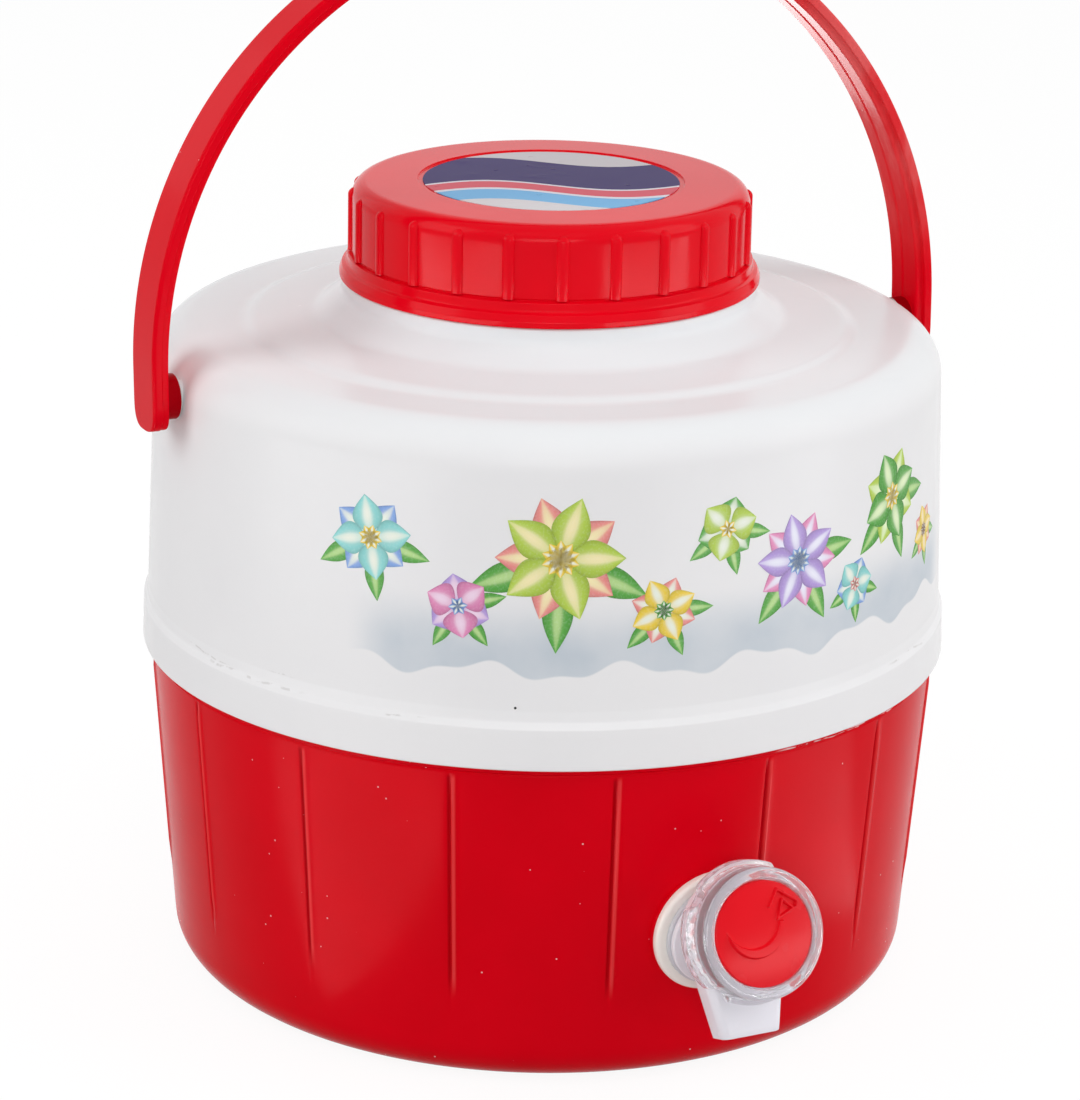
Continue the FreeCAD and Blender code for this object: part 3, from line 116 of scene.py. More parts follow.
@dataclass(frozen=True)
class Seat:
    """A place with its own axes: a point (x, y, z) there is origin + x across + y up + z out.

    Attributes:
        origin: The place in the jug's frame.
        across: Unit vector of the local x.
        up: Unit vector of the local y.
        out: Unit vector of the local z.
    """

    origin: Array
    across: Array
    up: Array
    out: Array

    @classmethod
    def facing(cls, origin: Sequence[float], out: Sequence[float],
               across: Sequence[float] = (1, 0, 0)) -> "Seat":
        """Return the seat at a place that faces along out and keeps across as its local x."""
        ahead = np.array(out, float) / np.linalg.norm(out)
        side = np.array(across, float)
        return cls(np.array(origin, float), side, np.cross(ahead, side), ahead)

    def world(self, points: Array) -> Array:
        """Return local points in the jug's frame."""
        return self.origin + points @ np.array([self.across, self.up, self.out])


def joined(*surfaces: Surface) -> Surface:
    """Return several surfaces as one, with each face's point numbers moved past the points before it."""
    starts = np.cumsum([0] + [len(surface.points) for surface in surfaces[:-1]])
    inks = [surface.inks for surface in surfaces]
    return Surface(
        np.vstack([surface.points for surface in surfaces]),
        np.vstack([surface.quads + start for surface, start in zip(surfaces, starts)]),
        np.vstack([surface.tris + start for surface, start in zip(surfaces, starts)]),
        None if inks[0] is None else np.vstack(inks),
    )


def lattice(points: Array, wrap_rows: bool = False, wrap_columns: bool = True,
            inks: Array | None = None) -> Surface:
    """Return the surface through a grid of points.

    Args:
        points: Array of (rows, columns, 3) places.
        wrap_rows: Join the last row to the first.
        wrap_columns: Join the last column to the first.
        inks: Array of (rows, columns, 4) colours, if any.

    Returns:
        Four-sided faces between the points (i, j), (i, j + 1), (i + 1, j + 1) and (i + 1, j).
    """
    rows, columns = points.shape[:2]
    row, column = np.meshgrid(np.arange(rows if wrap_rows else rows - 1),
                              np.arange(columns if wrap_columns else columns - 1), indexing="ij")
    below, beside = (row + 1) % rows, (column + 1) % columns
    corners = (row * columns + column, row * columns + beside,
               below * columns + beside, below * columns + column)
    quads = np.stack(corners, -1).reshape(-1, 4)
    return Surface(points.reshape(-1, 3), quads, inks=None if inks is None else inks.reshape(-1, 4))


def rounded(corners: Sequence[Corner], longest: float = 1e6, closed: bool = True) -> Array:
    """Return an outline whose corners are rounded.

    Each corner is (x, y, radius) and becomes the arc that touches its two edges: the arc's centre is on the
    corner's bisector, at radius / sin(half the angle), and its points turn at equal steps. A point beside
    each end of an arc keeps the shading of the straight runs even.

    Args:
        corners: The corners in order, each with its radius.
        longest: Longest straight step between two points.
        closed: The last corner leads back to the first. Otherwise both end corners stay as they are.

    Returns:
        Array of (m, 2) outline points.
    """
    table = np.array(corners, float)
    spots, radii = table[:, :2], table[:, 2]
    count = len(spots)
    parts = []
    for index, here in enumerate(spots):
        if radii[index] <= 0 or (not closed and index in (0, count - 1)):
            parts.append(here[None])
            continue
        back, ahead = spots[index - 1] - here, spots[(index + 1) % count] - here
        back_length, ahead_length = np.linalg.norm(back), np.linalg.norm(ahead)
        back, ahead = back / back_length, ahead / ahead_length
        half = 0.5 * math.acos(float(np.clip(back @ ahead, -1, 1)))
        reach = min(radii[index] / math.tan(half), ARC_SHARE * back_length, ARC_SHARE * ahead_length)
        radius = reach * math.tan(half)
        bisector = (back + ahead) / np.linalg.norm(back + ahead)
        centre = here + bisector * radius / math.sin(half)
        start, end = here + back * reach - centre, here + ahead * reach - centre
        sweep = math.atan2(start[0] * end[1] - start[1] * end[0], start @ end)
        step = np.clip(2 * math.acos(1 - min(1.0, ARC_GAP / radius)), *ARC_TURNS)
        turn = np.linspace(0, sweep, max(2, math.ceil(abs(sweep) / step)) + 1)
        arc = centre + np.stack([start[0] * np.cos(turn) - start[1] * np.sin(turn),
                                 start[0] * np.sin(turn) + start[1] * np.cos(turn)], -1)
        guards = [here + way * (reach + min(0.12 + 0.1 * radius, 0.035 * length))
                  for way, length in ((back, back_length), (ahead, ahead_length))]
        parts.append(np.vstack([guards[0], arc, guards[1]]))
    outline = np.vstack(parts)
    following = np.roll(outline, -1, 0)
    lengths = np.linalg.norm(following - outline, axis=1)
    shares = np.maximum(1, np.ceil(lengths / longest)).astype(int)
    if not closed:
        shares[-1] = 1
    starts = np.repeat(np.arange(len(outline)), shares)
    share = (np.arange(len(starts)) - np.repeat(np.cumsum(shares) - shares, shares)) / shares[starts]
    return outline[starts] + (following - outline)[starts] * share[:, None]


Warp = Callable[[Array, Array, Array], tuple[Array, Array]]


def turned(outline: Array, steps: int | Array = 96, closed: bool = True, warp: Warp | None = None) -> Surface:
    """Turn an outline about the local z.

    Point (i, j) is (r cos a, r sin a, z) with a the i-th angle and (r, z) the j-th outline point, after the
    warp.

    Args:
        outline: Array of (m, 2) radii and heights.
        steps: Number of equal steps of a full turn, or the angles themselves.
        closed: The outline is a closed loop. Otherwise it starts and ends on the axis, where each end is
            one point.
        warp: Function that changes radii and heights, given (r, z, a) arrays.

    Returns:
        The closed surface.
    """
    angles = np.arange(steps) * FULL_TURN / steps if isinstance(steps, int) else steps
    inner = outline if closed else outline[1:-1]
    radius, height, angle = np.broadcast_arrays(inner[None, :, 0], inner[None, :, 1], angles[:, None])
    if warp:
        radius, height = warp(radius, height, angle)
    points = np.stack([radius * np.cos(angle), radius * np.sin(angle), height], -1)
    surface = lattice(points, wrap_rows=True, wrap_columns=closed)
    if closed:
        return surface
    rows, columns = points.shape[:2]
    first = np.arange(rows) * columns
    after = np.roll(first, -1)
    poles = np.array([[0, 0, outline[0, 1]], [0, 0, outline[-1, 1]]])
    low, high = np.full(rows, rows * columns), np.full(rows, rows * columns + 1)
    surface.tris = np.vstack([np.stack([low, after, first], -1),
                              np.stack([high, first + columns - 1, after + columns - 1], -1)])
    surface.points = np.vstack([surface.points, poles])
    return surface


def flat_ring(inner: float, outer: float, low: float, high: float, rounds: Sequence[float], steps: int,
              longest: float = 1e6) -> Surface:
    """Return a ring with a four-sided section.

    Args:
        inner: Radius of its hole.
        outer: Outer radius.
        low: Height of its back.
        high: Height of its front.
        rounds: Radii of its edges: back inner, back outer, front outer and front inner.
        steps: Number of steps of a full turn.
        longest: Longest straight step along the section.

    Returns:
        The closed surface about the local z.
    """
    corners = list(zip((inner, outer, outer, inner), (low, low, high, high), rounds))
    return turned(rounded(corners, longest), steps)


def smooth_step(value: Array, low: float, high: float) -> Array:
    """Return 0 below low, 1 above high and 3 t^2 - 2 t^3 between them."""
    share = np.clip((value - low) / (high - low), 0, 1)
    return share * share * (3 - 2 * share)


# Materials worked out as node graphs


class Tree:
    """Node tree of a material or a world, with short ways to add and join its nodes."""

    def __init__(self, tree: bpy.types.NodeTree) -> None:
        """Empty the tree."""
        self.tree = tree
        self.tree.nodes.clear()

    def node(self, kind: str, inputs: dict | None = None, **settings: object) -> bpy.types.Node:
        """Add a node.

        Args:
            kind: Blender's name of the node type.
            inputs: Socket names or numbers with their values or the sockets that feed them.
            **settings: Properties of the node.

        Returns:
            The new node.
        """
        made = self.tree.nodes.new(kind)
        for key, value in settings.items():
            setattr(made, key, value)
        for key, value in (inputs or {}).items():
            self.feed(made.inputs[key], value)
        return made

    def feed(self, socket: Socket, value: object) -> None:
        """Set a socket to a value, or link it to the socket that feeds it."""
        if isinstance(value, Socket):
            self.tree.links.new(value, socket)
        elif isinstance(value, tuple) and len(value) == 3 and socket.type == "RGBA":
            socket.default_value = (*value, 1.0)
        else:
            socket.default_value = value

    def math(self, operation: str, first: object, second: object = 0.0, third: object = 0.0) -> Socket:
        """Return the result of one math operation."""
        return self.node("ShaderNodeMath", {0: first, 1: second, 2: third}, operation=operation).outputs[0]

    def times(self, first: object, *others: object) -> Socket:
        """Return the product of two or more values."""
        for other in others:
            first = self.math("MULTIPLY", first, other)
        return first

    def most(self, first: object, *others: object) -> Socket:
        """Return the greatest of two or more values."""
        for other in others:
            first = self.math("MAXIMUM", first, other)
        return first

    def between(self, value: object, low: float, high: float, bottom: float = 0.0,
                top: float = 1.0) -> Socket:
        """Return the value carried from one range to another on a smooth step, held at both ends."""
        inputs = {"Value": value, "From Min": low, "From Max": high, "To Min": bottom, "To Max": top}
        return self.node("ShaderNodeMapRange", inputs, interpolation_type="SMOOTHSTEP").outputs[0]


class Graph(Tree):
    """Node graph of one material."""

    def __init__(self, name: str) -> None:
        """Start a material that holds only its output and a principled shader."""
        self.material = bpy.data.materials.new(name)
        self.material.use_nodes = True
        super().__init__(self.material.node_tree)
        self.shader = self.node("ShaderNodeBsdfPrincipled")
        self.output = self.node("ShaderNodeOutputMaterial", {"Surface": self.shader.outputs[0]})
        self.place = self.node("ShaderNodeTexCoord").outputs["Object"]

    def set(self, **values: object) -> None:
        """Set or feed sockets of the principled shader, named with underscores for spaces."""
        for key, value in values.items():
            self.feed(self.shader.inputs[key.replace("_", " ")], value)

    def base_colour(self) -> Socket:
        """Return the socket that feeds the shader's base colour so far."""
        return self.shader.inputs["Base Color"].links[0].from_socket

    def noise(self, scale: float, detail: float = 2.0, rough: float = 0.5, place: object = None) -> Socket:
        """Return a noise value, with scale in waves per metre."""
        inputs = {"Vector": place or self.place, "Scale": scale, "Detail": detail, "Roughness": rough}
        return self.node("ShaderNodeTexNoise", inputs).outputs["Fac"]

    def stretched(self, factors: tuple[float, float, float]) -> Socket:
        """Return the place with each axis multiplied, so that a pattern stretches."""
        return self.node("ShaderNodeMapping", {"Vector": self.place, "Scale": factors}).outputs[0]

    def mix(self, share: object, first: object, second: object) -> Socket:
        """Return a colour between two colours."""
        made = self.node("ShaderNodeMix", {0: share}, data_type="RGBA")
        self.feed(made.inputs[6], first)
        self.feed(made.inputs[7], second)
        return made.outputs[2]

    def ripple(self, value: object, rate: float, size: float) -> Socket:
        """Return a sine wave along a value: its rate in radians per unit, and its height."""
        return self.times(self.math("SINE", self.times(value, rate)), size)

    def specks(self, cell: float, radius: float, share: float) -> Socket:
        """Return 1 inside scattered round specks.

        Args:
            cell: Distance between possible specks in metres.
            radius: Radius of a speck as a share of that distance.
            share: Share of the cells that hold a speck.

        Returns:
            The mask.
        """
        cells = self.node("ShaderNodeTexVoronoi", {"Vector": self.place, "Scale": 1 / cell})
        draw = self.node("ShaderNodeSeparateColor", {0: cells.outputs["Color"]}).outputs[0]
        inside = self.between(cells.outputs["Distance"], radius, 0.6 * radius)
        return self.times(inside, self.math("LESS_THAN", draw, share))

    def round_the_axis(self) -> tuple[Socket, Socket]:
        """Return the direction round the jug from the tap, atan2(x, -y) in radians, and the height in m."""
        x, y, z = self.node("ShaderNodeSeparateXYZ", {0: self.place}).outputs
        return self.math("ARCTAN2", x, self.times(y, -1.0)), z

    def streak(self, level: float, width: float, start: float, end: float) -> Socket:
        """Return 1 inside a broken, slightly wavy scuff line that goes round the wall.

        Args:
            level: Its height in mm.
            width: Its half width in mm.
            start: Direction in degrees where it starts.
            end: Direction in degrees where it ends.

        Returns:
            The mask.
        """
        azimuth, height = self.round_the_axis()
        sway = 0.003
        wavy = self.math("MULTIPLY_ADD", self.noise(70, 2), sway, height)
        away = self.math("ABSOLUTE", self.math("SUBTRACT", wavy, level * MM + 0.5 * sway))
        line = self.between(away, width * MM, 0.3 * width * MM)
        gaps = self.between(self.noise(260, 3), 0.44, 0.54)
        first, last, fade = math.radians(start), math.radians(end), 0.06
        opening = self.between(azimuth, first, first + fade)
        closing = self.between(azimuth, last, last - fade)
        return self.times(line, gaps, opening, closing)

    def spot(self, centre: tuple[float, float, float], radius: float) -> Socket:
        """Return 1 inside a small spot round a point, both in mm."""
        away = self.node("ShaderNodeVectorMath", {0: self.place, 1: tuple(part * MM for part in centre)},
                         operation="DISTANCE").outputs["Value"]
        return self.between(away, 1.2 * radius * MM, 0.7 * radius * MM)

    def bumps(self, *layers: tuple[object, float]) -> None:
        """Feed the shader's normal from heights, each with its depth in millimetres."""
        normal: object = None
        for height, depth in layers:
            inputs = {"Height": height, "Distance": depth * MM, "Strength": 1.0}
            if normal is not None:
                inputs["Normal"] = normal
            normal = self.node("ShaderNodeBump", inputs).outputs[0]
        self.feed(self.shader.inputs["Normal"], normal)


@dataclass(frozen=True)
class MouldedPlastic:
    """Glossy moulded plastic with slow mould waves, fine grain, scattered dust and a little uneven gloss.

    Attributes:
        name: Name of the finish.
        colour: Linear base colour.
        tone: Linear colour that slow clouds lean towards.
        roughness: Middle roughness.
        specular: Specular level.
        wave: Depth of the slow waves in mm.
        grain: Depth of the fine grain in mm.
        dust: Share of 5 mm cells that hold a fine pale speck. Half that share of 16 mm cells hold a coarse
            one.
        dust_colour: Linear colour of the specks.
    """

    name: str
    colour: Colour
    tone: Colour
    roughness: float = 0.2
    specular: float = 0.4
    wave: float = 0.06
    grain: float = 0.002
    dust: float = 0.0
    dust_colour: Colour = (0.8, 0.6, 0.6)

    def graph(self) -> Graph:
        """Return the finish as a node graph that can still be added to."""
        graph = Graph(self.name)
        clouds = graph.between(graph.noise(22, 3), 0.35, 0.7)
        colour = graph.mix(graph.times(clouds, 0.6), self.colour, self.tone)
        roughness = graph.math("MULTIPLY_ADD", graph.noise(90, 3), 0.12, self.roughness - 0.06)
        if self.dust:
            fine, coarse = graph.specks(0.005, 0.065, self.dust), graph.specks(0.016, 0.03, 0.5 * self.dust)
            specks = graph.most(fine, coarse)
            colour = graph.mix(specks, colour, self.dust_colour)
            roughness = graph.math("MULTIPLY_ADD", specks, 0.4, roughness)
        graph.set(Base_Color=colour, Roughness=roughness, Specular_IOR_Level=self.specular)
        scratches = graph.between(graph.noise(240, 2, 0.6, graph.stretched((1, 1, 0.12))), 0.62, 0.75)
        graph.bumps((graph.noise(14, 1), self.wave), (graph.noise(1400, 2), self.grain), (scratches, 0.004))
        return graph

    def material(self) -> Material:
        """Return the finished material."""
        return self.graph().material


@dataclass(frozen=True)
class SoftRubber:
    """Matt rubber with fine grain and a slightly paler bloom."""

    name: str
    colour: Colour
    bloom: Colour
    roughness: float = 0.55

    def material(self) -> Material:
        """Return the finished material."""
        graph = Graph(self.name)
        colour = graph.mix(graph.between(graph.noise(60, 4), 0.4, 0.75), self.colour, self.bloom)
        roughness = graph.math("MULTIPLY_ADD", graph.noise(500, 2), 0.2, self.roughness - 0.1)
        graph.set(Base_Color=colour, Roughness=roughness, Specular_IOR_Level=0.35)
        graph.bumps((graph.noise(900, 3), 0.02), (graph.noise(2600, 2), 0.006))
        return graph.material


@dataclass(frozen=True)
class RigidFoam:
    """Cream insulation foam with closed cells."""

    name: str
    colour: Colour
    shade: Colour

    def material(self) -> Material:
        """Return the finished material."""
        graph = Graph(self.name)
        pattern = graph.node("ShaderNodeTexVoronoi", {"Vector": graph.place, "Scale": 900.0})
        cells = pattern.outputs["Distance"]
        colour = graph.mix(graph.between(cells, 0.2, 0.7), self.shade, self.colour)
        graph.set(Base_Color=colour, Roughness=0.9, Specular_IOR_Level=0.2)
        graph.bumps((cells, 0.25), (graph.noise(120, 3), 0.4))
        return graph.material


@dataclass(frozen=True)
class ClearPlastic:
    """Clear styrene with a faint cool tint and long flow marks."""

    name: str
    tint: Colour

    def material(self) -> Material:
        """Return the finished material."""
        graph = Graph(self.name)
        flow = graph.noise(160, 3, 0.55, graph.stretched((1.0, 0.35, 1.0)))
        graph.set(Base_Color=self.tint, Roughness=graph.math("MULTIPLY_ADD", flow, 0.08, 0.02), IOR=1.5,
                  Transmission_Weight=0.82, Specular_IOR_Level=0.5)
        graph.bumps((flow, 0.2), (graph.noise(700, 2), 0.01))
        return graph.material


@dataclass(frozen=True)
class PlatedSteel:
    """Zinc plated steel with turning marks."""

    name: str
    colour: Colour

    def material(self) -> Material:
        """Return the finished material."""
        graph = Graph(self.name)
        marks = graph.noise(2000, 2, 0.6, graph.stretched((0.2, 1.0, 1.0)))
        graph.set(Base_Color=graph.mix(graph.noise(300, 3), self.colour, (0.42, 0.4, 0.36)), Metallic=1.0,
                  Roughness=graph.math("MULTIPLY_ADD", marks, 0.2, 0.2))
        graph.bumps((marks, 0.01))
        return graph.material


@dataclass(frozen=True)
class PrintedInk:
    """Printed motifs: each point carries its own colour, under a thin gloss."""

    name: str

    def material(self) -> Material:
        """Return the finished material."""
        graph = Graph(self.name)
        ink = graph.node("ShaderNodeAttribute", attribute_name=INK).outputs["Color"]
        dots = graph.between(graph.noise(1500, 2), 0.45, 0.7, 0.0, 0.08)
        roughness = graph.math("MULTIPLY_ADD", graph.noise(90, 3), 0.12, 0.17)
        graph.set(Base_Color=graph.mix(dots, ink, (0.92, 0.92, 0.95)), Roughness=roughness,
                  Specular_IOR_Level=0.08)
        graph.bumps((graph.noise(14, 1), 0.06))
        return graph.material


# Pieces


@dataclass(frozen=True)
class Finishes:
    """The materials of the whole jug, each made once."""

    red: Material
    lid_red: Material
    handle_red: Material
    disc_red: Material
    white: Material
    tap_white: Material
    collar: Material
    liner: Material
    foam: Material
    seal: Material
    ivory: Material
    clear: Material
    steel: Material
    ink: Material
    label: Material


def add_piece(name: str, surface: Surface, material: Material, body: Body,
              nodes: Sequence[str], sharp: float = 50.0) -> bpy.types.Object:
    """Make one piece of the object from a surface.

    Args:
        name: Name of the piece.
        surface: Its points and faces in millimetres.
        material: Its finish.
        body: The body that it moves with.
        nodes: The CAD nodes that it stands for.
        sharp: Angle in degrees past which two faces meet in a sharp edge.

    Returns:
        The object, with touching points merged and all faces outwards.
    """
    mesh = bpy.data.meshes.new(name)
    mesh.vertices.add(len(surface.points))
    mesh.vertices.foreach_set("co", (surface.points * MM).astype(np.float32).ravel())
    totals = np.concatenate([np.full(len(surface.quads), 4), np.full(len(surface.tris), 3)])
    mesh.loops.add(int(totals.sum()))
    loops = np.concatenate([surface.quads.ravel(), surface.tris.ravel()])
    mesh.loops.foreach_set("vertex_index", loops.astype(np.int32))
    mesh.polygons.add(len(totals))
    mesh.polygons.foreach_set("loop_start", (np.cumsum(totals) - totals).astype(np.int32))
    if surface.inks is not None:
        inks = mesh.color_attributes.new(INK, "FLOAT_COLOR", "POINT")
        inks.data.foreach_set("color", surface.inks.astype(np.float32).ravel())
    mesh.update(calc_edges=True)
    work = bmesh.new()
    work.from_mesh(mesh)
    bmesh.ops.remove_doubles(work, verts=work.verts, dist=1e-6)
    bmesh.ops.recalc_face_normals(work, faces=work.faces)
    work.to_mesh(mesh)
    work.free()
    mesh.shade_smooth()
    mesh.set_sharp_from_angle(angle=math.radians(sharp))
    mesh.materials.append(material)
    piece = bpy.data.objects.new(name, mesh)
    bpy.context.scene.collection.objects.link(piece)
    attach(piece, body.value)
    if nodes:
        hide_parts(*nodes)
    LOG.info("%s: %d faces on %s", name, len(mesh.polygons), body.value)
    return piece


@dataclass(frozen=True)
class RedBody:
    """Lower body: drafted wall with crease lines on a rounded base, thin lip, tongue and recessed foot."""

    base_radius: float = 115.3
    seam_radius: float = 122.4
    seam_height: float = 103.3
    wall: float = 2.4
    base_round: float = 21.0
    foot_ring: float = 91.0
    foot_recess: float = 4.0
    foot_slope: float = 3.0
    lip_height: float = 2.0
    lip_depth: float = 0.5
    lip_gap: float = 0.2
    tongue_top: float = 114.0
    hole: float = 11.0
    crease_count: int = 16
    crease_first: float = 7.6
    crease_low: float = 27.0
    crease_high: float = 100.5
    crease_width: float = 0.5
    crease_depth: float = 0.6
    crease_fade: float = 9.0
    crease_end: float = 2.0
    crest_share: float = 0.9
    lip_shadow: float = 0.35
    pad_radius: float = 18.9
    pad_hole: float = 11.3
    pad_proud: float = 0.3
    pad_depth: float = 4.4

    @property
    def draft(self) -> float:
        """Growth of the wall's radius per millimetre of height."""
        return (self.seam_radius - self.base_radius) / self.seam_height

    def outline(self) -> Array:
        """Return the closed outline of the wall, floor and tongue."""
        lip_low = self.seam_height - self.lip_height
        lip_top = self.seam_height - self.lip_gap
        floor = self.foot_recess + self.wall
        tongue = self.seam_radius - 0.05
        return rounded([
            (self.hole, self.foot_recess, 0.3),
            (self.foot_ring - self.foot_slope, self.foot_recess, 1.5),
            (self.foot_ring, 0, 0.9),
            (self.base_radius, 0, self.base_round),
            (self.base_radius + (lip_low - 0.8) * self.draft, lip_low - 0.8, 0.2),
            (self.base_radius + lip_low * self.draft - self.lip_shadow, lip_low - 0.2, 0.15),
            (self.seam_radius + self.lip_depth, lip_low + self.lip_depth, 0.3),
            (self.seam_radius + self.lip_depth, lip_top, 0.3),
            (tongue, lip_top, 0.1),
            (tongue, self.tongue_top, 0.4),
            (tongue - self.wall, self.tongue_top, 0.4),
            (self.base_radius - self.wall + floor * self.draft, floor, self.base_round - self.wall),
            (self.hole, floor, 0.3),
        ], longest=5.0)

    def angles(self) -> Array:
        """Return the angles of the columns: even steps, with more of them across each crease line."""
        first = math.radians(self.crease_first) - math.pi / 2
        lines = first + np.arange(self.crease_count) * FULL_TURN / self.crease_count
        across = np.array([-4.0, -2.0, -1.2, -0.6, -0.25, 0, 0.25, 0.6, 1.2, 2.0, 4.0]) * self.crease_width
        fine = (lines[:, None] + across / self.seam_radius).ravel()
        even = np.arange(self.crease_count * 14) * FULL_TURN / (self.crease_count * 14) + first
        near = np.abs(np.angle(np.exp(1j * (even[:, None] - lines)))).min(1)
        return np.sort(np.concatenate([fine, even[near > 5.0 * self.crease_width / self.seam_radius]]))

    def creased(self, radius: Array, height: Array, angle: Array) -> tuple[Array, Array]:
        """Sink a fine line into the outer wall at each crease.

        The sunk depth is depth exp(-(distance / width)^2), where distance is measured along the wall. A soft
        crest is raised on one side. Both fade out at the ends of the line.

        Args:
            radius: Radii in mm.
            height: Heights in mm.
            angle: Angles about the axis in radians.

        Returns:
            The changed radii, and the heights as they were.
        """
        step = FULL_TURN / self.crease_count
        first = math.radians(self.crease_first) - math.pi / 2
        distance = (np.mod(angle - first + step / 2, step) - step / 2) * self.seam_radius
        outer = radius > self.base_radius + height * self.draft - 0.5 * self.wall
        low = smooth_step(height, self.crease_low, self.crease_low + self.crease_fade)
        high = 1 - smooth_step(height, self.crease_high - self.crease_end, self.crease_high)
        groove = -np.exp(-(distance / self.crease_width) ** 2)
        crest = np.exp(-((distance - 2.2 * self.crease_width) / (1.2 * self.crease_width)) ** 2)
        sunk = self.crease_depth * (groove + self.crest_share * crest)
        return radius + sunk * low * high * outer, height

    def build(self, finishes: Finishes, shank: Seat) -> None:
        """Make the red body with the flat round seat of its tap."""
        wall = turned(self.outline(), self.angles(), warp=self.creased)
        pad = flat_ring(self.pad_hole, self.pad_radius, -self.pad_depth, self.pad_proud,
                        (0.1, 0.1, 0.2, 0.1), 96)
        whole = joined(wall, pad.placed(shank))
        add_piece("red_body", whole, finishes.red, Body.JUG, ["outer_body"])


@dataclass(frozen=True)
class WhiteShell:
    """Upper shell: wider band, drafted wall, round shoulder, stepped plateau, neck collar, pivot pads."""

    seam_height: float = 103.3
    band_radius: float = 125.0
    band_top: float = 118.0
    band_edge_radius: float = 124.55
    band_edge_height: float = 115.7
    low_radius: float = 123.3
    top_radius: float = 120.0
    wall: float = 2.3
    shoulder: float = 202.7
    shoulder_round: float = 17.5
    plateau_radius: float = 90.0
    plateau_step: float = 1.5
    plateau_run: float = 4.0
    plateau_rise: float = 1.6
    cove_width: float = 8.5
    cove_height: float = 6.0
    collar_radius: float = 63.2
    collar_top: float = 216.3
    collar_lip: float = 2.4
    neck_hole: float = 58.0
    tongue_radius: float = 122.65
    tongue_top: float = 114.0
    pivot_height: float = 190.8
    pad_radius: float = 4.9
    pad_face: float = 121.2
    pad_depth: float = 9.2
    pad_hole: float = 4.05

    def outer_radius(self, height: Array) -> Array:
        """Return the drafted wall's radius at a height, straight from the band to the shoulder."""
        share = (height - self.band_top) / (self.shoulder - self.band_top)
        return self.low_radius + (self.top_radius - self.low_radius) * share

    def outline(self) -> Array:
        """Return the closed outline, up the outside and down the inside."""
        plateau = self.shoulder + self.plateau_step
        ceiling = self.shoulder - self.wall
        cove = plateau + self.plateau_rise
        step = self.plateau_radius + self.plateau_run
        return rounded([
            (self.tongue_radius, self.seam_height, 0.3),
            (self.band_radius, self.seam_height, 0.7),
            (self.band_edge_radius, self.band_edge_height, 1.0),
            (self.low_radius + 0.25, self.band_top - 0.2, 1.6),
            (float(self.outer_radius(120.9)), 120.9, 5.0),
            (self.top_radius, self.shoulder, self.shoulder_round),
            (step, self.shoulder, 8.0),
            (self.plateau_radius, plateau, 8.0),
            (self.collar_radius + self.cove_width, cove, 7.0),
            (self.collar_radius, cove + self.cove_height, 3.0),
            (self.collar_radius, self.collar_top, 0.6),
            (self.neck_hole, self.collar_top, 0.3),
            (self.neck_hole, self.collar_top - self.collar_lip, 0.3),
            (self.collar_radius - self.wall, self.collar_top - self.collar_lip, 0.3),
            (self.collar_radius - self.wall, cove - self.wall / 2, 1.0),
            (self.plateau_radius - self.wall / 2, plateau - self.wall, 0.5),
            (step - self.wall / 2, ceiling, 0.5),
            (self.top_radius - self.wall, ceiling, self.shoulder_round - self.wall),
            (self.low_radius - self.wall, self.band_top, 1.0),
            (self.low_radius - self.wall, self.tongue_top, 0.3),
            (self.tongue_radius, self.tongue_top, 0.3),
        ], longest=6.0)

    def build(self, finishes: Finishes) -> None:
        """Make the white shell with its two pivot pads."""
        pad = flat_ring(self.pad_hole, self.pad_radius, self.pad_face - self.pad_depth, self.pad_face,
                        (0.2, 0.2, 0.35, 0.2), 64)
        seats = [Seat.facing((0, 0, self.pivot_height), (side, 0, 0), (0, 1, 0)) for side in (-1, 1)]
        whole = joined(turned(self.outline(), 288), *(pad.placed(seat) for seat in seats))
        add_piece("white_shell", whole, finishes.white, Body.JUG, ["top_shell"])


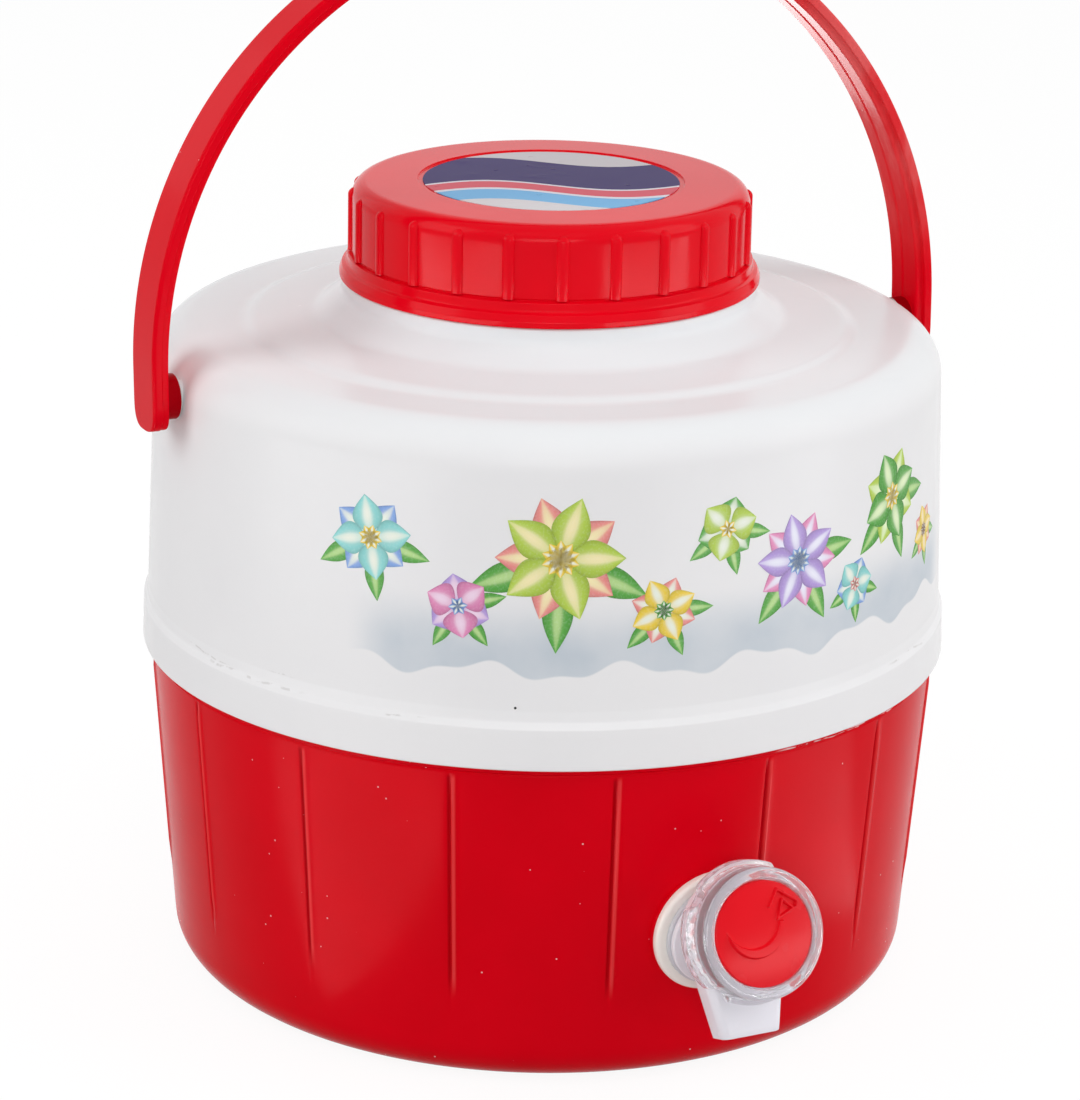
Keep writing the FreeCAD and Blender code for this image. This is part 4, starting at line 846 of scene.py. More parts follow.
@dataclass(frozen=True)
class Lid:
    """Screw lid: flared flange, cove, plain band, ribbed skirt, rounded edge, and a label in its recess."""

    bottom: float = 216.6
    flange_radius: float = 64.1
    flange_top_radius: float = 63.3
    flange_top: float = 220.4
    cove_radius: float = 61.9
    band_radius: float = 61.7
    band_low: float = 221.0
    band_high: float = 223.6
    skirt_low: float = 223.9
    skirt_radius: float = 60.4
    top: float = 246.2
    top_fall: float = 0.4
    edge_round: float = 5.0
    recess_radius: float = 40.4
    recess_floor: float = 245.6
    ceiling: float = 243.2
    bore: float = 59.0
    inner_bevel: float = 2.0
    rib_count: int = 24
    rib_first: float = 8.4
    rib_half_width: float = 1.8
    rib_proud: float = 1.15
    rib_low: float = 224.2
    rib_peak: float = 241.6
    seam_groove: float = 0.4
    label_radius: float = 38.9
    label_thickness: float = 0.3

    def outline(self) -> Array:
        """Return the outline from the ceiling's middle, round the skirt, to the top's middle."""
        return rounded([
            (0, self.ceiling, 0),
            (self.bore - self.inner_bevel, self.ceiling, 0.5),
            (self.bore, self.ceiling - self.inner_bevel, 0.5),
            (self.bore, self.bottom, 0.3),
            (self.flange_radius, self.bottom, 0.5),
            (self.flange_radius, self.bottom + 1.8, 0.8),
            (self.flange_top_radius, self.flange_top, 0.35),
            (self.cove_radius, self.band_low, 0.8),
            (self.band_radius, self.band_high, 0.25),
            (self.skirt_radius - self.seam_groove, self.skirt_low + 0.1, 0.1),
            (self.skirt_radius, self.skirt_low + 0.6, 0.2),
            (self.skirt_radius, self.top - self.top_fall, self.edge_round),
            (self.recess_radius, self.top, 0.3),
            (self.recess_radius, self.recess_floor, 0.3),
            (0, self.recess_floor, 0),
        ], longest=5.0, closed=False)

    def rib(self) -> Surface:
        """Return one rib: a stadium with a round back.

        Ring k is the stadium's outline moved inwards by half (1 - cos t) at height proud sin t, with t from
        0 to 90 degrees, so a section across the rib is half an ellipse. The last ring falls on the
        stadium's middle line. Above the straight skirt the rib follows the lid's round edge inwards, and
        its lower end is cut square.
        """
        turn = np.linspace(0, math.pi, 13)
        roll = np.radians([0, 14, 30, 48, 68, 90])
        around = np.concatenate([turn, turn + math.pi])
        middle = np.repeat([self.rib_peak, self.rib_low], len(turn))
        half = self.rib_half_width
        inset = half * np.concatenate([[1.0, 0.0], 1 - np.cos(roll)])
        rise = self.rib_proud * np.concatenate([[-0.7, -0.7], np.sin(roll)]) - 0.03
        across = (half - inset)[:, None] * np.cos(around)
        height = np.maximum(middle + (half - inset)[:, None] * np.sin(around), self.rib_low)
        angle = across / self.skirt_radius
        above = np.clip(height - (self.top - self.top_fall - self.edge_round), 0, self.edge_round)
        fall = self.edge_round - np.sqrt(self.edge_round ** 2 - above ** 2)
        radius = self.skirt_radius - fall + rise[:, None]
        return lattice(np.stack([radius * np.cos(angle), radius * np.sin(angle), height], -1))

    def ribs(self) -> Surface:
        """Return all ribs, each turned about z by its own step."""
        one = self.rib()
        turn = math.radians(self.rib_first) + np.arange(self.rib_count) * FULL_TURN / self.rib_count
        cosine, sine = np.cos(turn)[:, None], np.sin(turn)[:, None]
        x, y, z = one.points.T
        points = np.stack([x * cosine - y * sine, x * sine + y * cosine, z + 0 * cosine], -1).reshape(-1, 3)
        starts = np.arange(self.rib_count) * len(one.points)
        return Surface(points, (one.quads[None] + starts[:, None, None]).reshape(-1, 4))

    def build(self, finishes: Finishes) -> None:
        """Make the cap with its ribs, and the label."""
        cap = turned(self.outline(), 240, closed=False)
        add_piece("lid_shell", joined(cap, self.ribs()), finishes.lid_red, Body.LID, ["lid_cap"])
        high = self.recess_floor + self.label_thickness
        disc = turned(rounded([(0, self.recess_floor, 0), (self.label_radius, self.recess_floor, 0.05),
                               (self.label_radius, high, 0.12), (0, high, 0)], longest=3.0, closed=False),
                      180, closed=False)
        add_piece("top_label", disc, finishes.label, Body.LID, ["lid_label"])


@dataclass(frozen=True)
class Handle:
    """Bail: a stepped strap in a half circle on straight legs, with round bevelled feet and bosses."""

    radius: float = 130.9
    arch_height: float = 199.0
    half_width: float = 9.3
    thickness: float = 5.4
    outer_thickness: float = 3.0
    inner_step: float = 1.3
    edge: float = 1.1
    pivot_height: float = 190.8
    lean: float = 2.3
    boss_radius: float = 6.8
    boss_face: float = 121.25
    boss_sunk: float = 0.4
    centre_groove: float = 0.3
    foot_squareness: float = 3.2

    def section(self) -> Array:
        """Return the closed section as (distance out from the jug's axis, distance across the strap)."""
        inner, middle = self.radius - self.thickness, self.radius - self.outer_thickness
        wide, narrow = self.half_width, self.half_width - self.inner_step
        side = [
            (self.radius, wide, self.edge),
            (middle, wide, 0.35),
            (middle, narrow, 0.25),
            (inner, narrow, 0.7),
            (inner, 1.1, 0.15),
            (inner + self.centre_groove, 0.55, 0.15),
        ]
        other = [(out, -across, turn) for out, across, turn in reversed(side)]
        return rounded(side + other)

    def leant(self, points: Array) -> Array:
        """Return points leant away from the tap, turned by the lean about the pivot line."""
        lean = math.radians(self.lean)
        y, z = points[:, 1], points[:, 2] - self.pivot_height
        turned_y = y * math.cos(lean) + z * math.sin(lean)
        turned_z = z * math.cos(lean) - y * math.sin(lean)
        return np.stack([points[:, 0], turned_y, turned_z + self.pivot_height], -1)

    def strap(self) -> Surface:
        """Return the strap: the section carried up one leg, over the half circle and down the other leg.

        Stations on the arch turn the section by an angle b about the arch's centre line: a point that is
        out from the axis by p lies at (p cos b, across, centre + p sin b). On the legs b stays 0 or 180
        degrees.
        """
        section = self.section()
        drop = np.linspace(self.pivot_height - self.arch_height, 0, 5)[:-1]
        bend = np.linspace(0, math.pi, 161)
        turn = np.concatenate([np.zeros(len(drop)), bend, np.full(len(drop), math.pi)])[:, None]
        lift = np.concatenate([drop, np.zeros(len(bend)), drop[::-1]])[:, None]
        out, across = section.T
        height = self.arch_height + out * np.sin(turn) + lift
        return lattice(np.stack([out * np.cos(turn), across + 0 * turn, height], -1))

    def foot(self, side: int) -> Surface:
        """Return one foot: half of the section carried half a turn about the pivot line.

        The distance from the pivot line at angle t is multiplied by (|cos t|^n + |sin t|^n)^(-1/n), so the
        foot's end is squarer than a half circle. Both tiers of the section reach equally far down.
        """
        section = self.section()
        half = section[section[:, 1] >= 0]
        half = np.vstack([half, half[-1] * (1, 0)])
        half = np.vstack([half[0] * (1, 0), half])
        turn = np.linspace(0, math.pi, 49)[:, None]
        power = self.foot_squareness
        reach = (np.abs(np.cos(turn)) ** power + np.abs(np.sin(turn)) ** power) ** (-1 / power)
        out, across = half.T
        narrow = self.half_width - self.inner_step
        down = across + (self.half_width - across) * smooth_step(across, 0.6 * narrow, narrow)
        points = np.stack([side * out + 0 * turn, across * reach * np.cos(turn),
                           self.pivot_height - down * reach * np.sin(turn)], -1)
        return lattice(points, wrap_columns=False)

    def boss(self, side: int) -> Surface:
        """Return the round boss between one foot and the jug's wall."""
        root = self.radius - self.outer_thickness - self.boss_sunk
        outline = rounded([(0, self.boss_face, 0), (self.boss_radius, self.boss_face, 0.5),
                           (self.boss_radius, root, 0.1), (0, root, 0)], closed=False)
        seat = Seat.facing((0, 0, self.pivot_height), (side, 0, 0), (0, 1, 0))
        return turned(outline, 72, closed=False).placed(seat)

    def build(self, finishes: Finishes) -> None:
        """Make the handle in one piece."""
        whole = joined(self.strap(), self.foot(1), self.foot(-1), self.boss(1), self.boss(-1))
        whole.points = self.leant(whole.points)
        add_piece("carry_handle", whole, finishes.handle_red, Body.BAIL, ["handle"])


@dataclass(frozen=True)
class Tap:
    """Tap: wall gasket and collar, body with shank, hub and flat tapered spout."""

    gasket_radius: float = 18.8
    gasket_low: float = 0.3
    gasket_high: float = 3.3
    ring_radius: float = 15.8
    seat: float = 4.9
    hole: float = 11.3
    flange_radius: float = 15.0
    flange_thickness: float = 1.8
    shank_radius: float = 11.0
    shank_bore: float = 7.5
    shank_end: float = 30.0
    barrel_radius: float = 13.0
    hub_radius: float = 15.7
    hub_back: float = 13.0
    hub_front: float = 21.0
    hub_edge: float = 1.0
    spout_root: float = -3.9
    spout_length: float = 30.3
    spout_root_half: float = 14.6
    spout_tip_half: float = 9.3
    spout_back: float = 10.8
    spout_thickness: float = 9.7
    spout_wall: float = 1.6
    spout_side_wall: float = 2.2
    spout_depth: float = 20.0
    spout_corner: float = 2.6

    def spout(self) -> Surface:
        """Return the hollow spout in the valve's axes.

        Its section at each station is a rounded rectangle with its own half width, half thickness and
        corner radius: a quarter of a circle about each of the four corner centres. The stations run down
        the outside to the tip, over its rim and up the inside.
        """
        turn = (np.arange(72) + 0.5) * FULL_TURN / 72
        reach = self.spout_length
        down = np.linspace(0, 1, 12)
        half_out = self.spout_root_half + (self.spout_tip_half - self.spout_root_half) * down
        down_y = self.spout_root - (reach + self.spout_root) * down
        thick = self.spout_thickness / 2
        inner_half = self.spout_tip_half - self.spout_side_wall
        inner_thick = thick - self.spout_wall
        up = np.linspace(0, 1, 8)
        corner = self.spout_corner
        inside = corner - self.spout_wall
        closed = 0.05
        stations = [(closed, closed, self.spout_root, closed)]
        stations += [(half, thick, y, corner) for half, y in zip(half_out[:-1], down_y[:-1])]
        stations += [(self.spout_tip_half + 0.02, thick, 0.35 - reach, corner),
                     (self.spout_tip_half - 0.1, thick - 0.1, 0.1 - reach, corner - 0.1),
                     (self.spout_tip_half - 0.35, thick - 0.35, -reach, corner - 0.35),
                     (inner_half + 0.3, inner_thick + 0.3, -reach, inside + 0.3),
                     (inner_half, inner_thick, 0.3 - reach, inside)]
        rise = 0.3 - reach + self.spout_depth * up
        stations += [(inner_half, inner_thick, y, inside) for y in rise[1:]]
        stations += [(closed, closed, rise[-1], closed)]
        half, thin, y, corner = (column[:, None] for column in np.array(stations).T)
        cosine, sine = np.cos(turn), np.sin(turn)
        x = (half - corner) * np.sign(cosine) + corner * cosine
        z = (thin - corner) * np.sign(sine) + corner * sine + self.spout_back + self.spout_thickness / 2
        return lattice(np.stack([x, y + 0 * x, z], -1))

    def barrel(self, elbow: float) -> Surface:
        """Return barrel and hub in the valve's axes.

        The barrel's lower end is cut by the plane of the wall seat: at angle t its height is
        (seat + radius sin t sin elbow) / cos elbow.
        """
        outline = rounded([
            (0, 0, 0),
            (self.barrel_radius, 0, 0),
            (self.barrel_radius, self.hub_back - 0.8, 0.6),
            (self.hub_radius, self.hub_back, 0.5),
            (self.hub_radius, self.hub_front, self.hub_edge),
            (0, self.hub_front, 0),
        ], longest=3.0, closed=False)

        def cut(radius: Array, height: Array, angle: Array) -> tuple[Array, Array]:
            """Raise the points below the seat plane onto it."""
            plane = (self.seat + 0.4 + radius * np.sin(angle) * math.sin(elbow)) / math.cos(elbow)
            return radius, np.maximum(height, plane)

        return turned(outline, 96, closed=False, warp=cut)

    def build(self, finishes: Finishes, shank: Seat, valve: Seat) -> None:
        """Make the gasket, the collar and the tap's body.

        Args:
            finishes: The jug's materials.
            shank: Seat of the shank on the wall.
            valve: Seat of the valve on the knob's axis.
        """
        gasket = flat_ring(self.hole, self.gasket_radius, self.gasket_low, self.gasket_high,
                           (0.2, 0.8, 1.3, 0.3), 120)
        add_piece("wall_gasket", gasket.placed(shank), finishes.ivory, Body.JUG, ["tap_gasket"])
        ring = flat_ring(self.hole, self.ring_radius, self.gasket_high, self.seat, (0.2, 0.2, 0.5, 0.3), 96)
        add_piece("tap_seat_ring", ring.placed(shank), finishes.collar, Body.JUG, ["tap_collar"])
        flange = flat_ring(self.shank_bore, self.flange_radius, self.seat, self.seat + self.flange_thickness,
                           (0.1, 0.2, 0.6, 0.1), 96)
        tube = flat_ring(self.shank_bore, self.shank_radius, -self.shank_end, self.seat + 0.5,
                         (0.3, 0.8, 0.1, 0.1), 72, longest=5.0)
        elbow = math.acos(float(np.clip(shank.out @ valve.out, -1, 1)))
        parts = (flange.placed(shank), tube.placed(shank), self.barrel(elbow).placed(valve),
                 self.spout().placed(valve))
        add_piece("tap_housing", joined(*parts), finishes.tap_white, Body.JUG, ["tap_body"])


@dataclass(frozen=True)
class Knob:
    """Knob: clear ring with four lobes and inner flutes, and a red domed disc with a raised turning arrow."""

    back: float = 22.8
    grip_radius: float = 20.8
    grip_inner: float = 17.9
    grip_front: float = 28.5
    tier_bevel: float = 1.0
    front_radius: float = 19.1
    front: float = 35.7
    edge: float = 1.6
    cup_radius: float = 15.6
    web_back: float = 29.3
    web_front: float = 31.3
    screw_hole: float = 1.9
    boss_radius: float = 7.6
    boss_back: float = 22.7
    socket: float = 5.05
    socket_end: float = 29.6
    lobes: int = 4
    lobe_turn: float = 8.0
    notch_radius: float = 5.0
    notch_depth: float = 2.0
    notch_blend: float = 0.35
    grip_skin: float = 0.8
    flutes: int = 30
    flute_depth: float = 0.35
    disc_radius: float = 15.3
    disc_back: float = 31.35
    disc_edge: float = 34.95
    crown: float = 1.5
    emboss: float = 1.15
    stroke: float = 0.5
    tail_outer: Corner = (-2.9, 2.4, 9.0)
    tail_inner: Corner = (-3.9, 4.8, 8.2)
    tail_top: float = 3.4
    tail_soft: float = 0.45
    head: tuple[tuple[Size, ...], ...] = (
        ((2.0, 7.6), (5.2, 12.1), (11.2, 7.9), (10.6, 6.7)),
        ((6.3, 9.0), (9.6, 6.1), (4.2, 4.0), (6.3, 9.0)),
    )

    def outline(self) -> Array:
        """Return the closed outline of the ring, web and boss."""
        return rounded([
            (self.grip_inner, self.back, 0.5),
            (self.grip_radius, self.back, 1.0),
            (self.grip_radius, self.grip_front - self.tier_bevel, 1.0),
            (self.front_radius, self.grip_front, 0.8),
            (self.front_radius, self.front, self.edge),
            (self.cup_radius + 0.5, self.front, 0.4),
            (self.cup_radius, self.front - 0.7, 0.3),
            (self.cup_radius, self.web_front, 0.3),
            (self.screw_hole, self.web_front, 0.1),
            (self.screw_hole, self.socket_end, 0.1),
            (self.socket, self.socket_end, 0.1),
            (self.socket, self.boss_back, 0.1),
            (self.boss_radius, self.boss_back, 0.4),
            (self.boss_radius, self.web_back, 0.6),
            (self.grip_inner, self.web_back, 0.6),
        ], longest=1.5)

    def lobed(self, radius: Array, height: Array, angle: Array) -> tuple[Array, Array]:
        """Cut the notches between the lobes and raise the inner flutes.

        A notch is a circle whose centre is beyond the grip: on a ray at angle t from it the near side is at
        c cos t - sqrt(n^2 - c^2 sin^2 t). The grip takes the smaller of its own radius and that one, softly.

        Args:
            radius: Radii in mm.
            height: Heights in mm.
            angle: Angles about the axis in radians.

        Returns:
            The changed radii, and the heights as they were.
        """
        quarter = FULL_TURN / self.lobes
        away = np.mod(angle - math.radians(self.lobe_turn), quarter) - quarter / 2
        centre = self.grip_radius + self.notch_radius - self.notch_depth
        inside = np.maximum(self.notch_radius ** 2 - (centre * np.sin(away)) ** 2, 0)
        near = np.where(inside > 0, centre * np.cos(away) - np.sqrt(inside), self.grip_radius + 3)
        blend = self.notch_blend
        soft = -blend * np.logaddexp(-near / blend, -self.grip_radius / blend)
        skin = self.grip_inner + self.grip_skin
        share = np.clip((radius - skin) / (self.grip_radius - skin), 0, 1)
        rear = 1 - smooth_step(height, self.grip_front - 0.4, self.grip_front + 0.2)
        cut = radius + (soft - self.grip_radius) * share * rear
        inner = (np.abs(radius - self.grip_inner) < 0.05) & (height < self.web_back - 0.7)
        wave = self.flute_depth * (0.5 + 0.5 * np.cos(self.flutes * angle)) * inner
        return cut - wave, height

    def relief(self, x: Array, y: Array) -> Array:
        """Return the raised height of the turning arrow at a place on the disc.

        The arrow's tail is the crescent between two circles. Its head is a triangle and a chevron of thin
        strokes. Each edge is a smooth step of the distance to it.

        Args:
            x: Places across the disc in mm.
            y: Places up the disc in mm.

        Returns:
            Heights in mm.
        """
        outer = np.hypot(x - self.tail_outer[0], y - self.tail_outer[1]) - self.tail_outer[2]
        inner = self.tail_inner[2] - np.hypot(x - self.tail_inner[0], y - self.tail_inner[1])
        outside = np.maximum(np.maximum(outer, inner), y - self.tail_top)
        tail = 1 - smooth_step(outside, -self.tail_soft, 0.0)
        nearest = np.full(np.shape(x), self.disc_radius)
        for line in self.head:
            for start, end in zip(np.array(line[:-1]), np.array(line[1:])):
                way = end - start
                share = np.clip(((x - start[0]) * way[0] + (y - start[1]) * way[1]) / (way @ way), 0, 1)
                away = np.hypot(x - start[0] - share * way[0], y - start[1] - share * way[1])
                nearest = np.minimum(nearest, away)
        head = 1 - smooth_step(nearest, 0.35 * self.stroke, self.stroke)
        return self.emboss * np.maximum(tail, head)

    def disc(self) -> Surface:
        """Return the disc: a flat back, a round rim and a domed face that carries the relief.

        The face is a sphere's cap: at radius r it stands crown (1 - (r / rim)^2) above the rim, about.
        """
        rim = self.disc_radius
        face = np.linspace(1, 0, 105)[1:] * (rim - 0.5)
        side = rounded([(0, self.disc_back, 0), (rim, self.disc_back, 0.2), (rim, self.disc_edge, 0.5),
                        (rim - 1.5, self.disc_edge + 0.15, 0)], longest=2.0, closed=False)
        dome = np.stack([face, self.disc_edge + self.crown * (1 - (face / rim) ** 2)], -1)
        outline = np.vstack([side[:-1], dome[dome[:, 0] < rim - 1.2]])

        def embossed(radius: Array, height: Array, angle: Array) -> tuple[Array, Array]:
            """Raise the face by the relief."""
            lift = self.relief(radius * np.cos(angle), radius * np.sin(angle))
            return radius, height + lift * (height > self.disc_edge + 0.05)

        return turned(outline, 360, closed=False, warp=embossed)

    def build(self, finishes: Finishes, valve: Seat) -> None:
        """Make the clear ring and the red disc."""
        ring = turned(self.outline(), 240, warp=self.lobed)
        add_piece("clear_knob", ring.placed(valve), finishes.clear, Body.VALVE, ["knob_ring"])
        disc = self.disc().placed(valve)
        add_piece("knob_button", disc, finishes.disc_red, Body.VALVE, ["knob_disc"])


# Printed garland


@dataclass(frozen=True)
class Bloom:
    """One flower of the garland.

    Attributes:
        azimuth: Degrees round the wall from the tap, towards +x.
        height: Height of its middle in mm.
        size: Radius in mm.
        petals: Number of petals.
        turn: Degrees by which the petals are turned.
        light: Colour of the middle stripe of a petal.
        main: Colour of the petal.
        other: Colour of every second petal.
        heart: Colour of the middle.
    """

    azimuth: float
    height: float
    size: float
    petals: int
    turn: float
    light: Colour
    main: Colour
    other: Colour
    heart: Colour


AQUA, SKY, LILAC = (0.30, 0.72, 0.70), (0.24, 0.40, 0.78), (0.48, 0.34, 0.74)
ROSE, CORAL = (0.80, 0.28, 0.52), (0.86, 0.30, 0.28)
LIME, LEAF, GOLD = (0.50, 0.68, 0.10), (0.12, 0.42, 0.08), (0.92, 0.68, 0.08)
PALE, BROWN = (0.86, 0.90, 0.80), (0.32, 0.12, 0.03)


@dataclass(frozen=True)
class Garland:
    """Printed flowers and leaves on the white wall, as ink a few hundredths of a millimetre thick."""

    shell: WhiteShell
    blooms: tuple[Bloom, ...]
    ink: float = 0.03

    def petal(self, bloom: Bloom, angle: Array, start: float, end: float, width: float, layer: float,
              light: Array, main: Array) -> Surface:
        """Return petals or leaves as closed thin plates wrapped on the wall.

        Along its length a petal is width sin(pi s^0.8) wide, and across it the ink goes from the light
        stripe in the middle to the main colour and back to a thin dark edge. The plates go from the wall's
        surface to the layer's height.

        Args:
            bloom: The flower that they belong to.
            angle: Direction of each petal in radians.
            start: Distance of the petals' roots from the flower's middle.
            end: Distance of their tips.
            width: Half width of a petal.
            layer: Number of the ink layer, counted outwards.
            light: Colour of the middle stripe of each petal.
            main: Colour of each petal.

        Returns:
            The plates with their inks.
        """
        rows, columns = 17, 11
        along = np.linspace(0, 1, rows)[None, :, None]
        side = np.concatenate([np.linspace(-1, 1, columns), np.linspace(1, -1, columns)])[None, None, :]
        top = np.concatenate([np.ones(columns), np.zeros(columns)])[None, None, :]
        turn = angle[:, None, None]
        out = start + (end - start) * along + 0 * side
        half = width * np.sin(math.pi * along ** 0.8) * side
        u = out * np.cos(turn) - half * np.sin(turn)
        v = out * np.sin(turn) + half * np.cos(turn)
        height = bloom.height + v
        radius = self.shell.outer_radius(height) + (top * (1 + layer) - 1) * self.ink
        azimuth = math.radians(bloom.azimuth) + u / self.shell.outer_radius(height)
        points = np.stack([radius * np.sin(azimuth), -radius * np.cos(azimuth), height], -1)
        stripe = 1 - smooth_step(np.abs(side), 0.12, 0.5)
        edge = smooth_step(np.abs(side), 0.72, 0.95)
        shade = (0.82 + 0.18 * along) * (1 - 0.28 * edge)
        blend = (stripe * (0.35 + 0.65 * np.sin(math.pi * along)))[..., None]
        inks = main[:, None, None] * (1 - blend) * shade[..., None] + light[:, None, None] * blend
        inks = np.concatenate([inks + 0 * points, np.ones(points.shape[:3] + (1,))], -1)
        return joined(*(lattice(place, inks=colour) for place, colour in zip(points, inks)))

    def flower(self, bloom: Bloom) -> Surface:
        """Return one flower: two leaves, a ring of petals in two layers and a heart of small petals."""
        step = FULL_TURN / bloom.petals
        angle = math.radians(bloom.turn) + np.arange(bloom.petals) * step
        main = np.where((np.arange(bloom.petals) % 2 == 0)[:, None], bloom.main, bloom.other)
        light = np.tile(bloom.light, (bloom.petals, 1))
        width = 0.92 * bloom.size * math.tan(step / 2)
        leaves = np.radians([bloom.turn + 200, bloom.turn + 335, bloom.turn + 268])
        parts = [
            self.petal(bloom, leaves, 0.4 * bloom.size, 1.5 * bloom.size, 0.24 * bloom.size, 1,
                       np.tile((0.5, 0.72, 0.3), (3, 1)), np.tile(LEAF, (3, 1))),
            self.petal(bloom, angle[1::2], 0.1 * bloom.size, bloom.size, width, 2, light[1::2], main[1::2]),
            self.petal(bloom, angle[0::2], 0.1 * bloom.size, bloom.size, width, 3, light[0::2], main[0::2]),
            self.petal(bloom, angle + step / 2, 0, 0.3 * bloom.size, 0.1 * bloom.size, 4,
                       np.tile(PALE, (bloom.petals, 1)), np.tile(bloom.heart, (bloom.petals, 1))),
        ]
        return joined(*parts)

    def build(self, finishes: Finishes) -> None:
        """Make the whole garland as one printed piece."""
        whole = joined(*(self.flower(bloom) for bloom in self.blooms))
        add_piece("printed_garland", whole, finishes.ink, Body.JUG, [], sharp=35.0)


BLOOMS = (
    Bloom(-49, 168, 12.5, 8, 10, PALE, AQUA, SKY, GOLD),
    Bloom(-36.5, 151, 9.5, 6, 40, (0.9, 0.7, 0.85), ROSE, LILAC, SKY),
    Bloom(-23, 166, 18.5, 10, 0, (0.95, 0.85, 0.5), LIME, CORAL, GOLD),
    Bloom(-9, 150, 10.0, 8, 25, PALE, GOLD, CORAL, LEAF),
    Bloom(0, 172, 9.5, 6, 15, PALE, LIME, LEAF, GOLD),
    Bloom(11.5, 159, 14.5, 10, 30, (0.85, 0.85, 0.97), LILAC, ROSE, SKY),
    Bloom(22.5, 147, 8.0, 6, 5, PALE, AQUA, SKY, CORAL),
    Bloom(31.5, 169, 14.5, 8, 20, (0.8, 0.92, 0.6), LEAF, LIME, GOLD),
    Bloom(43, 152, 8.0, 8, 12, (0.95, 0.8, 0.5), GOLD, CORAL, BROWN),
)


# Finishes of this jug


def white_wall() -> Material:
    """Return the shell's white plastic with the soft grey-blue wash of the print and a few scuffs.

    The wash lies between two heights of the wall and two directions round it: its lower edge follows slow
    waves, and the direction is atan2(x, -y). The plastic is a little cooler over the shoulder.
    """
    plastic = MouldedPlastic("white_gloss", (0.855, 0.85, 0.86), (0.83, 0.825, 0.84), roughness=0.24,
                             specular=0.06, wave=0.08)
    left, right, fade = math.radians(-53), math.radians(55), math.radians(9)
    low_edge, high_start, high_end = 0.1323, 0.138, 0.156
    inner_face = 0.1215
    shoulder_start, shoulder_end = 0.192, 0.208
    graph = plastic.graph()
    azimuth, z = graph.round_the_axis()
    left_side = graph.between(azimuth, left, left + fade)
    right_side = graph.between(azimuth, right, right - fade)
    wave = graph.math("ADD", graph.ripple(azimuth, 19.0, 0.0022), graph.ripple(azimuth, 43.0, 0.0010))
    low = graph.between(graph.math("SUBTRACT", z, wave), low_edge, low_edge + 0.0008)
    high = graph.between(z, high_end, high_start)
    flat = graph.node("ShaderNodeVectorMath", {0: graph.place, 1: (1.0, 1.0, 0.0)}, operation="MULTIPLY")
    radius = graph.node("ShaderNodeVectorMath", {0: flat.outputs[0]}, operation="LENGTH").outputs["Value"]
    outside = graph.math("GREATER_THAN", radius, inner_face)
    cloud = graph.between(graph.noise(45, 3), 0.25, 0.8, 0.55, 0.9)
    base = graph.base_colour()
    cooler = graph.mix(graph.between(z, shoulder_start, shoulder_end), base, (0.81, 0.835, 0.853))
    mask = graph.times(left_side, right_side, low, high, outside, cloud)
    washed = graph.mix(mask, cooler, (0.50, 0.57, 0.64))
    scuffs = graph.streak(117.6, 0.5, -79, -58)
    for level, start, end in ((118.6, -84, -72), (116.8, -49, -40), (121.5, -66, -60), (117.2, 30, 44)):
        scuffs = graph.most(scuffs, graph.streak(level, 0.35, start, end))
    scuffed = graph.mix(graph.times(scuffs, 0.35), washed, (0.45, 0.43, 0.41))
    graph.set(Base_Color=graph.mix(graph.spot((-58.97, -108.2, 121.9), 0.42), scuffed, (0.02, 0.02, 0.02)))
    return graph.material


def red_wall(plastic: MouldedPlastic, body: RedBody) -> Material:
    """Return the lower body's red plastic with pale scrapes along its lip.

    Each crease has painted shade, a darker line in its groove, and a painted highlight, a paler line on the
    crest beside it, at fixed distances along the wall from the crease's direction.

    Args:
        plastic: The finish without them.
        body: The lower body, with the places of its creases.

    Returns:
        The finished material.
    """
    graph = plastic.graph()
    base = graph.base_colour()
    scrapes = graph.most(graph.streak(101.4, 0.45, 8, 70), graph.streak(102.3, 0.35, 20, 66))
    scraped_with_painted_crease_light = graph.mix(graph.times(scrapes, 0.85), base, (0.86, 0.74, 0.74))
    azimuth, height = graph.round_the_axis()
    step = FULL_TURN / body.crease_count
    shifted = graph.math("SUBTRACT", azimuth, math.radians(body.crease_first) - 0.5 * step)
    turn = graph.math("SUBTRACT", graph.math("FLOORED_MODULO", shifted, step), 0.5 * step)
    away = graph.times(turn, body.seam_radius * MM)
    low = graph.between(height, body.crease_low * MM, (body.crease_low + body.crease_fade) * MM)
    high = graph.between(height, body.crease_high * MM, (body.crease_high - body.crease_end) * MM)
    # Painted shade in each crease's groove and a painted highlight on the crest beside it.
    line_edge, line_core = 0.0009, 0.0002
    for place, colour, share in ((-0.0002, (0.42, 0.0, 0.004), 0.8), (0.0011, (0.86, 0.07, 0.07), 0.6)):
        distance = graph.math("ABSOLUTE", graph.math("SUBTRACT", away, place))
        near = graph.between(distance, line_edge, line_core)
        scraped_with_painted_crease_light = graph.mix(graph.times(near, low, high, share), scraped_with_painted_crease_light, colour)
    graph.set(Base_Color=scraped_with_painted_crease_light)
    return graph.material


